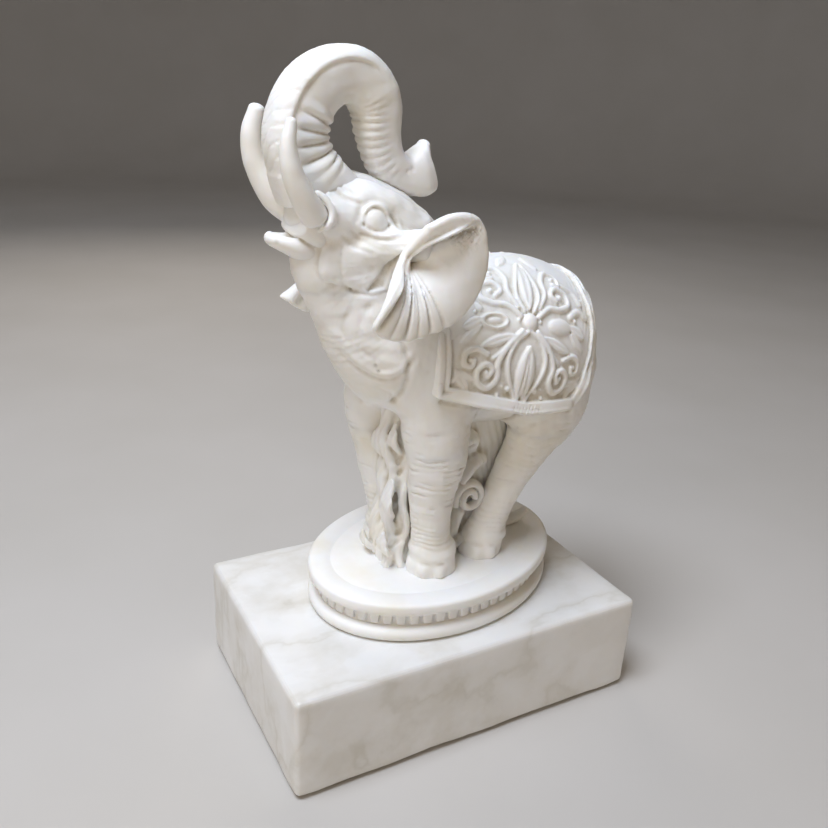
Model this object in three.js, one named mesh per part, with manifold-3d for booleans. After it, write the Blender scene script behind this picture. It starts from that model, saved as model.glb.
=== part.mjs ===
// Raised-trunk elephant: a stone-white casting on an oval plinth, bolted down through a marble block.
// Millimetres, +Z up. The origin is the centre of the underside. The elephant faces -X, so its left is -Y.
import * as THREE from "three";
import { mergeVertices } from "three/addons/utils/BufferGeometryUtils.js";
import Module from "manifold-3d";

const wasm = await Module();
wasm.setup();

// ------------------------------------------------ driving dimensions
const GAP = 0.3; // left between two pieces that touch
const BLOCK = { length: 120, width: 79, height: 33.4, edge: 1.8 };
const FELT = { thick: 0.6, inset: 3, corner: 3 };

// The plinth stands a little off the block's middle, its long axis turned by so many degrees.
const PLINTH = { length: 90, width: 67, height: 13, foot: 4.6, rim: 3.7, recess: 4.2, torusInset: 0.4 };
const PLINTH_PLACE = { x: 4.7, y: 2, turn: 14 };
const ELEPHANT_HEIGHT = 151.5; // soles to the top of the trunk's arch

// The saddle cloth hangs below the barrel by its fall, and stands out from it by its flare.
const CLOTH = { thick: 1.8, frontX: -12, rearX: 46, fall: 4, flare: 1.6 };

// The hidden fixing: an M6 stud set in the plinth, with a washer and nut in a counterbore under the block.
const STUD = { radius: 3, inPlinth: 9, belowNut: 2 };
const HOLE_CLEARANCE = 0.4;
const COUNTERBORE = { radius: 9, depth: 12 };
const WASHER = { radius: 6.2, thick: 1.6 };
const NUT = { acrossFlats: 10, thick: 5 };

// ------------------------------------------------ worked out from them
const BLOCK_BASE = FELT.thick + GAP;
const BLOCK_TOP = BLOCK_BASE + BLOCK.height;
const PLINTH_BASE = BLOCK_TOP + GAP;
const SOLE_LEVEL = PLINTH_BASE + PLINTH.height + GAP;
const HOLE_RADIUS = STUD.radius + HOLE_CLEARANCE;
const WASHER_TOP = BLOCK_BASE + COUNTERBORE.depth - GAP;
const NUT_TOP = WASHER_TOP - WASHER.thick - GAP;
const STUD_BASE = NUT_TOP - NUT.thick - STUD.belowNut;
const STUD_TOP = PLINTH_BASE + STUD.inPlinth;

// The stations below were modelled at this height, and are scaled from it about the plinth's middle.
const MODELLED_HEIGHT = 151.5;
const FIGURE_SCALE = ELEPHANT_HEIGHT / MODELLED_HEIGHT;
const FIGURE_SHIFT = new THREE.Vector3(PLINTH_PLACE.x, PLINTH_PLACE.y, 0)
  .multiplyScalar(1 - FIGURE_SCALE)
  .setZ(SOLE_LEVEL);
const LEFT = -1;
const RIGHT = 1;
const OVERRUN = 1; // how far a cutting tool runs past the face it cuts
const CAP_SHARE = 0.2; // the share of a limb's rings that each round end takes

// ------------------------------------------------ materials
const stone = new THREE.MeshStandardMaterial({ color: "#e9e6dd", roughness: 0.55 });
const marble = new THREE.MeshStandardMaterial({ color: "#eeeeec", roughness: 0.35 });
const felt = new THREE.MeshStandardMaterial({ color: "#3c4a3a", roughness: 1 });
const zinc = new THREE.MeshStandardMaterial({ color: "#b9bcc0", roughness: 0.35, metalness: 1 });

// ------------------------------------------------ solids and booleans
function solidOf(geometry) {
  const bare = geometry.clone();
  bare.deleteAttribute("normal");
  bare.deleteAttribute("uv");
  const merged = mergeVertices(bare, 1e-4);
  const vertProperties = merged.attributes.position.array;
  const triVerts = new Uint32Array(merged.index.array);
  return new wasm.Manifold(new wasm.Mesh({ numProp: 3, vertProperties, triVerts }));
}

function joined(solids) {
  return solids.reduce((whole, next) => whole.add(next));
}

function cutBy(solid, tools) {
  return tools.reduce((left, tool) => left.subtract(tool), solid);
}

const assembly = new THREE.Group();

function place(name, solid, material) {
  const made = solid.getMesh();
  const geometry = new THREE.BufferGeometry();
  geometry.setAttribute("position", new THREE.BufferAttribute(made.vertProperties, 3));
  geometry.setIndex(new THREE.BufferAttribute(made.triVerts, 1));
  geometry.computeVertexNormals();
  const mesh = new THREE.Mesh(geometry, material);
  mesh.name = name;
  assembly.add(mesh);
}

// A point of the elephant, at its real size and place.
function onPlinth(x, y, z) {
  return new THREE.Vector3(x, y, z).multiplyScalar(FIGURE_SCALE).add(FIGURE_SHIFT);
}

// A round-ended limb along a smooth line. Each station is [x, y, z, half width, half depth],
// from the soles' level, and caps are how far the round ends stand past the first and last station.
function limb(stations, caps, { grow = 0, around = 18, along = 22 } = {}) {
  const spots = stations.map(([x, y, z]) => onPlinth(x, y, z));
  const sizes = stations.map(([, , , w, d]) => new THREE.Vector3(w, d, 0).multiplyScalar(FIGURE_SCALE));
  const line = new THREE.CatmullRomCurve3(spots);
  const widths = new THREE.CatmullRomCurve3(sizes);
  const geometry = new THREE.SphereGeometry(1, around, along);
  const position = geometry.attributes.position;
  const unit = new THREE.Vector3();
  for (let i = 0; i < position.count; i++) {
    unit.fromBufferAttribute(position, i);
    const share = Math.acos(THREE.MathUtils.clamp(unit.y, -1, 1)) / Math.PI;
    const turn = Math.atan2(unit.z, unit.x);
    const t = THREE.MathUtils.clamp((share - CAP_SHARE) / (1 - 2 * CAP_SHARE), 0, 1);
    const start = Math.max(0, 1 - share / CAP_SHARE);
    const end = Math.max(0, 1 - (1 - share) / CAP_SHARE);
    const ring = Math.cos(((start + end) * Math.PI) / 2);
    const beyond = (length, part) => (length * FIGURE_SCALE + grow) * Math.sin((part * Math.PI) / 2);
    const tangent = line.getTangent(t);
    const side = new THREE.Vector3(0, 1, 0).addScaledVector(tangent, -tangent.y).normalize();
    const depth = new THREE.Vector3().crossVectors(side, tangent);
    const size = widths.getPoint(t);
    const spot = line.getPoint(t);
    spot.addScaledVector(side, (size.x + grow) * ring * Math.cos(turn));
    spot.addScaledVector(depth, (size.y + grow) * ring * Math.sin(turn));
    spot.addScaledVector(tangent, beyond(caps[1], end) - beyond(caps[0], start));
    position.setXYZ(i, spot.x, spot.y, spot.z);
  }
  const solid = solidOf(geometry);
  return solid.volume() < 0 ? solidOf(turnedInsideOut(geometry)) : solid;
}

function turnedInsideOut(geometry) {
  const index = geometry.index.array;
  for (let i = 0; i < index.length; i += 3) {
    [index[i + 1], index[i + 2]] = [index[i + 2], index[i + 1]];
  }
  return geometry;
}

// A sculpted member in two sizes: as it is, and grown by GAP to cut its neighbours.
function member(stations, caps, detail = {}) {
  const solid = limb(stations, caps, detail);
  return { solid, cutter: solid.add(limb(stations, caps, { ...detail, grow: GAP })) };
}

// ------------------------------------------------ felt, block and fixing
function roundedRectangle(length, width, radius) {
  const shape = new THREE.Shape();
  const x = length / 2;
  const y = width / 2;
  shape.moveTo(-x + radius, -y);
  shape.lineTo(x - radius, -y);
  shape.absarc(x - radius, -y + radius, radius, -Math.PI / 2, 0);
  shape.lineTo(x, y - radius);
  shape.absarc(x - radius, y - radius, radius, 0, Math.PI / 2);
  shape.lineTo(-x + radius, y);
  shape.absarc(-x + radius, y - radius, radius, Math.PI / 2, Math.PI);
  shape.lineTo(-x, -y + radius);
  shape.absarc(-x + radius, -y + radius, radius, Math.PI, 1.5 * Math.PI);
  return shape;
}

// A cylinder on the fixing's axis, which is the middle of the plinth.
function cylinder(radius, low, high, sides = 32) {
  const geometry = new THREE.CylinderGeometry(radius, radius, high - low, sides);
  geometry.rotateX(Math.PI / 2);
  geometry.translate(PLINTH_PLACE.x, PLINTH_PLACE.y, (low + high) / 2);
  return solidOf(geometry);
}

function feltPad() {
  const { thick, inset, corner } = FELT;
  const shape = roundedRectangle(BLOCK.length - 2 * inset, BLOCK.width - 2 * inset, corner);
  const detail = { depth: thick, bevelEnabled: false, curveSegments: 6 };
  return solidOf(new THREE.ExtrudeGeometry(shape, detail));
}

function marbleBlock() {
  const { length, width, height, edge } = BLOCK;
  const outline = roundedRectangle(length - 2 * edge, width - 2 * edge, edge);
  const geometry = new THREE.ExtrudeGeometry(outline, {
    depth: height - 2 * edge,
    bevelThickness: edge,
    bevelSize: edge,
    bevelSegments: 3,
    curveSegments: 4,
  });
  geometry.translate(0, 0, BLOCK_BASE + edge);
  const hole = cylinder(HOLE_RADIUS, BLOCK_BASE - OVERRUN, BLOCK_TOP + OVERRUN);
  const counterbore = cylinder(COUNTERBORE.radius, BLOCK_BASE - OVERRUN, BLOCK_BASE + COUNTERBORE.depth);
  return cutBy(solidOf(geometry), [hole, counterbore]);
}

function washer() {
  const bottom = WASHER_TOP - WASHER.thick;
  const hole = cylinder(HOLE_RADIUS, bottom - OVERRUN, WASHER_TOP + OVERRUN);
  return cylinder(WASHER.radius, bottom, WASHER_TOP).subtract(hole);
}

function hexNut() {
  const corner = NUT.acrossFlats / 2 / Math.cos(Math.PI / 6);
  const bottom = NUT_TOP - NUT.thick;
  const bore = cylinder(STUD.radius + GAP, bottom - OVERRUN, NUT_TOP + OVERRUN);
  return cylinder(corner, bottom, NUT_TOP, 6).subtract(bore);
}

// ------------------------------------------------ plinth
// A turned section stretched to an oval: a torus foot, a recessed frieze and a thick top disc.
const FRIEZE_FILLET = 0.4; // at the top and bottom of the recess
const RIM = { chamfer: 1, chamferRise: 0.8, rounding: 0.7 }; // the top disc's edge
const PLINTH_SIDES = 48;

function plinth() {
  const { length, width, height, foot, rim, recess, torusInset } = PLINTH;
  const edge = length / 2;
  const profile = [new THREE.Vector2(0, 0)];
  const corner = (x, y) => profile.push(new THREE.Vector2(x, y));
  const footRadius = foot / 2;
  for (let i = 0; i <= 6; i++) {
    const turn = -Math.PI / 2 + (i / 6) * Math.PI;
    const bulge = edge - torusInset - footRadius + footRadius * Math.cos(turn);
    corner(bulge, footRadius + footRadius * Math.sin(turn));
  }
  corner(edge - recess, foot + FRIEZE_FILLET);
  corner(edge - recess, height - rim - FRIEZE_FILLET);
  corner(edge - RIM.chamfer, height - rim);
  corner(edge, height - rim + RIM.chamferRise);
  corner(edge, height - RIM.rounding);
  corner(edge - RIM.rounding, height);
  corner(0, height);
  const geometry = new THREE.LatheGeometry(profile, PLINTH_SIDES);
  geometry.scale(1, 1, width / length);
  geometry.rotateX(Math.PI / 2);
  geometry.rotateZ(THREE.MathUtils.degToRad(PLINTH_PLACE.turn));
  geometry.translate(PLINTH_PLACE.x, PLINTH_PLACE.y, PLINTH_BASE);
  return solidOf(geometry);
}

// Everything under the soles, to trim feet and foliage flat.
function belowSoles() {
  const reach = 3 * ELEPHANT_HEIGHT;
  const geometry = new THREE.BoxGeometry(reach, reach, reach);
  geometry.translate(0, 0, SOLE_LEVEL - reach / 2);
  return solidOf(geometry);
}

// ------------------------------------------------ torso: barrel and neck
const BARREL = [
  [-13, 0, 70.5, 18.5, 18.5],
  [4, 0, 68.8, 21, 23.6],
  [21, 0, 68.5, 22, 25.6],
  [35, 0, 67, 20.5, 23.1],
  [42, 0, 64.9, 17.5, 19.2],
];
const NECK = [
  [-5, 0, 74.5, 19.5, 21.5],
  [-18, 0, 82, 18, 20],
  [-24.5, 0, 91, 15.5, 16.2],
];
const torsoParts = { around: 20, along: 18 };
const BARREL_CAPS = [18.5, 13.5];
const barrel = member(BARREL, BARREL_CAPS, torsoParts);
const neck = member(NECK, [12, 8], { around: 18, along: 12 });

// ------------------------------------------------ head: cranium and cheeks
const cranium = member(
  [
    [-13, 0, 98, 13.5, 13],
    [-24, 0, 103, 15, 15.5],
    [-33, 0, 109, 13, 13],
    [-38, 0, 113, 10.5, 10.5],
  ],
  [9, 7],
  { around: 20, along: 18 },
);
const cheeks = member(
  [
    [-22, 0, 95, 14.5, 12],
    [-30, 0, 95.5, 13, 12],
    [-35, 0, 98, 11, 9.5],
  ],
  [8, 6],
  { around: 18, along: 14 },
);

const lowerJaw = member(
  [
    [-35, 0, 96, 7, 6],
    [-42, 0, 98.5, 5.5, 4.5],
    [-49.5, 0, 103, 3.2, 2],
  ],
  [3, 2.4],
  { around: 14, along: 14 },
);

// ------------------------------------------------ trunk, raised and curled back over the head
const trunk = member(
  [
    [-36, 0, 114, 9, 9],
    [-42.2, 0, 121, 8.8, 8.4],
    [-44.3, 0, 129.5, 8.4, 7.8],
    [-41.4, 0, 137.6, 8, 7.5],
    [-36.2, 0, 142.4, 7.6, 7.2],
    [-30.3, 0, 143.7, 7.2, 7],
    [-25.2, 0, 141.4, 6.8, 6.8],
    [-22.1, 0, 136.6, 6.4, 6.3],
    [-21.3, 0, 130.5, 5.8, 5.8],
    [-20, 0, 125.2, 5.4, 5.3],
    [-17.4, 0, 121.2, 5.2, 5.1],
    [-13, 0, 118.9, 5, 4.9],
    [-8.4, 0, 119.2, 5.6, 6],
    [-6.2, 0, 119.8, 5, 5.6],
  ],
  [4, 1.5],
  { around: 12, along: 40 },
);

const TUSK = [
  [-38.5, 9.5, 106.5, 4.2, 4.2],
  [-45.5, 12, 111.5, 3.9, 3.9],
  [-50, 13.2, 119.5, 3.3, 3.3],
  [-51.2, 13.2, 126.5, 2.7, 2.7],
  [-50, 12.6, 132.5, 1.9, 1.9],
];
const RIGHT_TUSK_LENGTH = 1.07; // its length against the left one's

function tusk(side) {
  const rootZ = TUSK[0][2];
  const stretch = side === RIGHT ? RIGHT_TUSK_LENGTH : 1;
  const stations = TUSK.map(([x, y, z, w, d]) => [x, y * side, rootZ + (z - rootZ) * stretch, w, d]);
  return limb(stations, [2.5, 1.4], { around: 10, along: 16 });
}

// ------------------------------------------------ ears
// Each ear is a lens-shaped plate drawn by its rim, as [x, z], standing off the head and cupped forwards.
const EAR_RIM = [
  [-20, 110],
  [-15, 113],
  [-8.8, 113.2],
  [-4.4, 110.4],
  [-2.4, 103.6],
  [-2.6, 96],
  [-6, 89],
  [-11, 84.6],
  [-17.6, 82.2],
  [-24.6, 81],
  [-30, 81.9],
  [-34.4, 84.4],
  [-34, 88.5],
  [-30.5, 94],
  [-24, 101],
];
const EAR = { thick: 4.4, fullness: 0.7, root: [-21.5, 101], rootY: 17.5, rimY: 28, cup: 17 };
const RIGHT_EAR_DROOP = 3.6;

function earPlate(side) {
  const [rootX, rootZ] = EAR.root;
  const rim = new THREE.CatmullRomCurve3(EAR_RIM.map(([x, z]) => new THREE.Vector3(x, 0, z)), true);
  const geometry = new THREE.SphereGeometry(1, 28, 12);
  const position = geometry.attributes.position;
  const unit = new THREE.Vector3();
  for (let i = 0; i < position.count; i++) {
    unit.fromBufferAttribute(position, i);
    const reach = Math.hypot(unit.x, unit.z);
    const edge = rim.getPoint((Math.atan2(unit.z, unit.x) / (2 * Math.PI) + 1) % 1);
    const x = rootX + (edge.x - rootX) * reach;
    const z = rootZ + (edge.z - rootZ) * reach;
    const away = Math.min(1, Math.hypot(x - rootX, z - rootZ) / EAR.cup);
    const stand = EAR.rootY + (EAR.rimY - EAR.rootY) * Math.sin((away * Math.PI) / 2);
    const y = stand + (EAR.thick / 2) * Math.sign(unit.y) * Math.abs(unit.y) ** EAR.fullness;
    const droop = side === RIGHT ? RIGHT_EAR_DROOP : 0;
    const spot = onPlinth(x, side * y, z - droop);
    position.setXYZ(i, spot.x, spot.y, spot.z);
  }
  const solid = solidOf(geometry);
  return solid.volume() < 0 ? solidOf(turnedInsideOut(geometry)) : solid;
}

// ------------------------------------------------ legs and tail
const legDetail = { around: 14, along: 18 };
const foreleg = {
  left: member(
    [
      [-3.5, -11.5, 64, 10, 12],
      [-5.5, -13, 52, 10, 11],
      [-4.8, -13.3, 40, 9.4, 9.6],
      [-4.7, -12.5, 27, 7.8, 7.9],
      [-4.2, -12, 14, 6.4, 6.4],
      [-3.5, -11.7, 5, 7.4, 7.6],
      [-3.3, -11.7, -3, 7.6, 7.9],
    ],
    [7, 1],
    legDetail,
  ),
  right: member(
    [
      [-8.5, 11, 64, 10, 11.5],
      [-13, 12, 50, 9.8, 10.4],
      [-11.3, 11.6, 37, 8.6, 9],
      [-10.2, 11.3, 26, 7.3, 7.6],
      [-8.6, 11, 13, 6.2, 6.3],
      [-8, 11, 5, 6.8, 7],
      [-8, 11, -3, 7, 7.4],
    ],
    [7, 1],
    legDetail,
  ),
};
const hindleg = {
  left: member(
    [
      [35.5, -10.5, 60, 10.5, 16.5],
      [35.5, -12, 48, 9.8, 13.8],
      [30.8, -12, 37, 8.4, 8.7],
      [25.6, -10.8, 26, 7, 6.7],
      [21.3, -9.8, 15, 6.1, 6],
      [17.6, -9.2, 6, 6.9, 7.2],
      [15.9, -9, -3, 7.4, 7.8],
    ],
    [7, 1],
    legDetail,
  ),
  right: member(
    [
      [36, 10.5, 60, 10.5, 16.5],
      [39, 12, 48, 9.8, 13],
      [40.5, 12, 36, 8.3, 9.5],
      [39, 11, 24, 6.8, 7.2],
      [36.3, 10, 13, 6, 6.2],
      [34, 9.4, 5, 6.3, 6.6],
      [33.5, 9.4, -3, 6.5, 6.8],
    ],
    [7, 1],
    legDetail,
  ),
};
const tailSolid = limb(
  [
    [52, 2, 80, 3, 3],
    [56.5, 4.5, 71, 2.7, 2.7],
    [57, 8, 60, 2.4, 2.4],
    [55.6, 11.5, 48, 2.3, 2.3],
    [53, 13.5, 39, 2.8, 2.8],
    [50, 14, 31, 2.2, 2.2],
  ],
  [3, 3],
  { around: 10, along: 20 },
);

// ------------------------------------------------ saddle cloth
// A fitted cover over the back: a grown barrel trimmed to the cloth's outline, hollowed by what it lies on.
// The outline is the cloth seen from the side, as [x, z]: its hem, its rear edge, and its front edge.
const HEM = [
  [CLOTH.frontX, 62],
  [(CLOTH.frontX + CLOTH.rearX) / 2 - 1, 54],
  [CLOTH.rearX - 9, 52],
];
const REAR_EDGE = [
  [CLOTH.rearX - 4.5, 59],
  [CLOTH.rearX - 1, 67],
  [CLOTH.rearX + 1, 78],
  [CLOTH.rearX, 110],
];
const FRONT_EDGE = [
  [CLOTH.frontX + 3, 110],
  [CLOTH.frontX + 1.5, 80],
];
const CLOTH_SPAN = 80; // wider than the elephant

function clothOutline() {
  const points = [...HEM, ...REAR_EDGE, ...FRONT_EDGE].map(([x, z]) => new THREE.Vector2(x, z));
  const detail = { depth: CLOTH_SPAN, bevelEnabled: false };
  const geometry = new THREE.ExtrudeGeometry(new THREE.Shape(points), detail);
  geometry.translate(0, 0, -CLOTH_SPAN / 2);
  geometry.rotateX(Math.PI / 2);
  geometry.scale(FIGURE_SCALE, FIGURE_SCALE, FIGURE_SCALE);
  geometry.translate(FIGURE_SHIFT.x, FIGURE_SHIFT.y, FIGURE_SHIFT.z);
  return solidOf(geometry);
}

function saddleCloth() {
  const { fall, flare } = CLOTH;
  const cover = BARREL.map(([x, y, z, w, d]) => [x, y, z - fall, w + flare, d + fall]);
  const outer = limb(cover, BARREL_CAPS, { ...torsoParts, grow: CLOTH.thick + GAP });
  const hips = [foreleg.left, foreleg.right, hindleg.left, hindleg.right];
  return cutBy(outer.intersect(clothOutline()), [barrel, neck, ...hips].map((part) => part.cutter));
}

// ------------------------------------------------ foliage that props the casting between the legs
const frontFoliage = limb(
  [
    [-13, -0.5, 52, 6, 6],
    [-11, -0.5, 36, 6, 6.5],
    [-10.5, -0.5, 20, 6, 6.5],
    [-11, -0.5, 6, 7, 7],
    [-11.5, -0.5, -3, 7.5, 7.5],
  ],
  [5, 1],
  { around: 14, along: 14 },
);
const rearFoliage = limb(
  [
    [13, 0, 46, 9, 8],
    [14, 0, 30, 8, 8],
    [14, 0.5, 14, 8, 9],
    [13, 1, -3, 8.5, 10],
  ],
  [4, 1],
  { around: 14, along: 14 },
);

// ------------------------------------------------ assembly
const ground = belowSoles();
const torsoCutters = [barrel.cutter, neck.cutter];
const headCutters = [cranium.cutter, cheeks.cutter];
const legCutters = [foreleg.left, foreleg.right, hindleg.left, hindleg.right].map((leg) => leg.cutter);

place("felt_pad", feltPad(), felt);
place("marble_block", marbleBlock(), marble);
place("threaded_stud", cylinder(STUD.radius, STUD_BASE, STUD_TOP), zinc);
place("washer", washer(), zinc);
place("hex_nut", hexNut(), zinc);
const studSocket = cylinder(HOLE_RADIUS, PLINTH_BASE - OVERRUN, STUD_TOP + GAP);
place("plinth", cutBy(plinth(), [studSocket]), stone);

place("torso", joined([barrel.solid, neck.solid]), stone);
place("head", cutBy(joined([cranium.solid, cheeks.solid]), torsoCutters), stone);
place("trunk", cutBy(trunk.solid, headCutters), stone);
place("lower_jaw", cutBy(lowerJaw.solid, [...headCutters, ...torsoCutters, trunk.cutter]), stone);
for (const [name, side] of [["left", LEFT], ["right", RIGHT]]) {
  place(`tusk_${name}`, cutBy(tusk(side), [...headCutters, trunk.cutter, lowerJaw.cutter]), stone);
  place(`ear_${name}`, cutBy(earPlate(side), [...headCutters, ...torsoCutters]), stone);
  place(`foreleg_${name}`, cutBy(foreleg[name].solid, [ground, ...torsoCutters]), stone);
  place(`hindleg_${name}`, cutBy(hindleg[name].solid, [ground, ...torsoCutters]), stone);
}
place("tail", cutBy(tailSolid, [...torsoCutters, ...legCutters]), stone);
place("saddle_cloth", saddleCloth(), stone);
place("foliage_front", cutBy(frontFoliage, [ground, ...torsoCutters, ...legCutters]), stone);
place("foliage_rear", cutBy(rearFoliage, [ground, ...torsoCutters, ...legCutters]), stone);

export default assembly;
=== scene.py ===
import math

import bpy
import numpy as np
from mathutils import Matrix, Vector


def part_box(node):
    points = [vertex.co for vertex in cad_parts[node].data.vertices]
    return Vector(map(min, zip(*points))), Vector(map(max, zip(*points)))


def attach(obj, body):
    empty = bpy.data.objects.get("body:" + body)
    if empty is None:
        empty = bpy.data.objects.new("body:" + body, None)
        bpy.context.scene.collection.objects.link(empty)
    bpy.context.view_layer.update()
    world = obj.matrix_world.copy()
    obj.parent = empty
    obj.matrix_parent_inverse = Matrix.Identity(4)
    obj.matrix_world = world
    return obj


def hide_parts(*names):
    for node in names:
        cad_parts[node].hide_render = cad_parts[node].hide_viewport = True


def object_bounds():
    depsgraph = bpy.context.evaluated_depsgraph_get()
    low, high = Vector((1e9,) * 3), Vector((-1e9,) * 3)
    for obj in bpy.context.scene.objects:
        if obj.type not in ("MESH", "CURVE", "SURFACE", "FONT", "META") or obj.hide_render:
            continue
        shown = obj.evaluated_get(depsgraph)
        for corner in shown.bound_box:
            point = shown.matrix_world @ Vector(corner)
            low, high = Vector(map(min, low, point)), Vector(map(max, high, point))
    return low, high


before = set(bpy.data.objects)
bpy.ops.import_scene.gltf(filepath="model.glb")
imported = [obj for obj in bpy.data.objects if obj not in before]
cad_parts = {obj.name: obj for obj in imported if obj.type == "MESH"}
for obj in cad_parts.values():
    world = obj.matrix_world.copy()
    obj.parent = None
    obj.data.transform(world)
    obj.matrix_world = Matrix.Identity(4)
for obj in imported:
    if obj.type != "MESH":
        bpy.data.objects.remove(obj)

import openvdb
from mathutils import Euler, Matrix, Vector

# A stone-white elephant with its trunk raised, cast in bonded marble on an oval plinth and bolted down
# through a marble block. Sculpted sizes are in millimetres from the soles' level, and meshes in metres.

# ---------------- the table, the light and the eye
# A plain pale table with its backdrop curving up all round, broad soft lamps, and the eye above the
# elephant's left shoulder.
TABLE_TONES = [(0.3, "#C6C1B9"), (0.7, "#CBC6BF")]
TABLE_RADIUS = 1.3
# The backdrop's rings: how much wider each is than the last, and how far above it, in metres.
BACKDROP = [(1.06, 0.01), (1.07, 0.04), (1.06, 0.08), (1.04, 0.14), (1.02, 0.22), (1.01, 0.6)]
EYE_PLACE = Vector((-0.12533, -0.21040, 0.19302))
EYE_YAW, EYE_PITCH, EYE_ROLL = math.radians(29.58), math.radians(21.93), math.radians(2.99)
EYE_LENS, EYE_FILM = 36.95, 36.0
EYE_NEAREST = 0.01
LAMPS = [
    # place, what it looks at, size, watts, tone
    ((-0.26, -0.10, 0.75), (0.0, 0.0, 0.08), 0.32, 5.6, "#E4EEFF"),
    ((-0.60, -0.35, 0.30), (0.0, 0.0, 0.08), 0.40, 1.25, "#FFEFDC"),
    ((0.50, -0.50, 0.20), (0.0, 0.0, 0.08), 0.40, 0.4, "#FFDFB6"),
    ((0.10, 0.65, 0.45), (0.0, 0.0, 0.10), 0.40, 1.0, "#FFF6EC"),
]
SKY_TONE, SKY_STRENGTH = "#FFEFDA", 0.3


def linear(code):
    parts = [int(code[i : i + 2], 16) / 255 for i in (1, 3, 5)]
    return (*[c / 12.92 if c <= 0.04045 else ((c + 0.055) / 1.055) ** 2.4 for c in parts], 1.0)


def add_node(tree, kind, inputs=None, stops=(), **settings):
    """A node with its settings and its ramp's stops. An input is a value, a socket, or a node whose first
    output feeds it."""
    node = tree.nodes.new("ShaderNode" + kind)
    for key, value in settings.items():
        setattr(node, key, value)
    for key, value in (inputs or {}).items():
        value = value.outputs[0] if isinstance(value, bpy.types.Node) else value
        if isinstance(value, bpy.types.NodeSocket):
            tree.links.new(value, node.inputs[key])
        else:
            node.inputs[key].default_value = value
    for n, (place, code) in enumerate(stops):
        stop = node.color_ramp.elements[n] if n < 2 else node.color_ramp.elements.new(place)
        stop.position = place
        stop.color = linear(code)
    return node


def new_material(name):
    """A material, its empty node tree, and the object coordinates that its patterns follow."""
    made = bpy.data.materials.new(name)
    made.use_nodes = True
    tree = made.node_tree
    tree.nodes.clear()
    return made, tree, add_node(tree, "TexCoord").outputs["Object"]


def start_from(primitive, name, **settings):
    """A new primitive, named, and selected alone."""
    bpy.ops.object.select_all(action="DESELECT")
    primitive(**settings)
    made = bpy.context.object
    made.name = name
    return made


table_finish, tree, spot = new_material("eggshell_painted_table")
mottle = add_node(tree, "TexNoise", {"Vector": spot, "Scale": 9.0, "Detail": 3.0})
tone = add_node(tree, "ValToRGB", {"Fac": mottle}, TABLE_TONES)
shader = add_node(tree, "BsdfPrincipled", {"Base Color": tone, "Roughness": 0.7})
add_node(tree, "OutputMaterial", {"Surface": shader})

cad_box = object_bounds()
table = start_from(bpy.ops.mesh.primitive_circle_add, "table_top", vertices=96, radius=TABLE_RADIUS,
                   fill_type="NGON", location=(0, 0, cad_box[0][2]))
bpy.ops.object.mode_set(mode="EDIT")
for outward, upward in BACKDROP:
    bpy.ops.mesh.extrude_region_move(TRANSFORM_OT_translate={"value": (0, 0, upward)})
    bpy.ops.transform.resize(value=(outward, outward, 1), center_override=(0, 0, 0))
bpy.ops.object.mode_set(mode="OBJECT")
bpy.ops.object.shade_smooth()
table.data.materials.append(table_finish)

for n, (place, target, size, watts, code) in enumerate(LAMPS):
    lamp = bpy.data.lights.new(f"lamp_{n}", "AREA")
    lamp.size = size
    lamp.energy = watts
    lamp.color = linear(code)[:3]
    holder = bpy.data.objects.new(f"lamp_{n}", lamp)
    holder.location = place
    holder.rotation_euler = (Vector(target) - Vector(place)).to_track_quat("-Z", "Y").to_euler()
    bpy.context.scene.collection.objects.link(holder)

world = bpy.data.worlds.new("pale_room")
world.use_nodes = True
world.node_tree.nodes["Background"].inputs["Color"].default_value = linear(SKY_TONE)
world.node_tree.nodes["Background"].inputs["Strength"].default_value = SKY_STRENGTH
bpy.context.scene.world = world
bpy.context.scene.view_settings.view_transform = "Standard"

eye = bpy.data.cameras.new("eye")
eye.lens = EYE_LENS
eye.sensor_width = EYE_FILM
eye.clip_start = EYE_NEAREST
eye_holder = bpy.data.objects.new("eye", eye)
turn = Euler((math.pi / 2 - EYE_PITCH, 0, -EYE_YAW)).to_matrix() @ Matrix.Rotation(EYE_ROLL, 3, "Z")
eye_holder.matrix_world = Matrix.Translation(EYE_PLACE) @ turn.to_4x4()
bpy.context.scene.collection.objects.link(eye_holder)
bpy.context.scene.camera = eye_holder

# ---------------- felt pad and fixing
# A thin wool felt is glued under the block. An M6 stud, its washer and nut, zinc-plated, sit in the block's
# counterbore above the felt, so they stay the plain turned parts they are.
FELT_EDGE = 0.00022

felt_finish, tree, spot = new_material("green_wool_felt")
# Felted fibres: a soft fuzz about 0.8 mm across, coarser than the real fibres so that it shows.
fuzz = add_node(tree, "TexNoise", {"Vector": spot, "Scale": 1200.0, "Detail": 6.0})
tone = add_node(tree, "ValToRGB", {"Fac": fuzz}, [(0.35, "#2E382D"), (0.65, "#465343")])
bump = add_node(tree, "Bump", {"Height": fuzz, "Strength": 0.6, "Distance": 0.0003})
shader = add_node(tree, "BsdfPrincipled", {
    "Base Color": tone, "Roughness": 0.95, "Sheen Weight": 0.4, "Normal": bump})
add_node(tree, "OutputMaterial", {"Surface": shader})

low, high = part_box("felt_pad")
felt = start_from(bpy.ops.mesh.primitive_cube_add, "felt_underlay", size=1, location=(low + high) / 2,
                  scale=high - low)
bpy.ops.object.mode_set(mode="EDIT")
bpy.ops.mesh.select_all(action="SELECT")
bpy.ops.mesh.bevel(offset=FELT_EDGE, segments=2)
bpy.ops.object.mode_set(mode="OBJECT")
bpy.ops.object.transform_apply(location=True, rotation=True, scale=True)
felt.data.materials.append(felt_finish)
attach(felt, "root")
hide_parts("felt_pad")

zinc_finish, tree, spot = new_material("bright_zinc_plated_steel")
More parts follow.
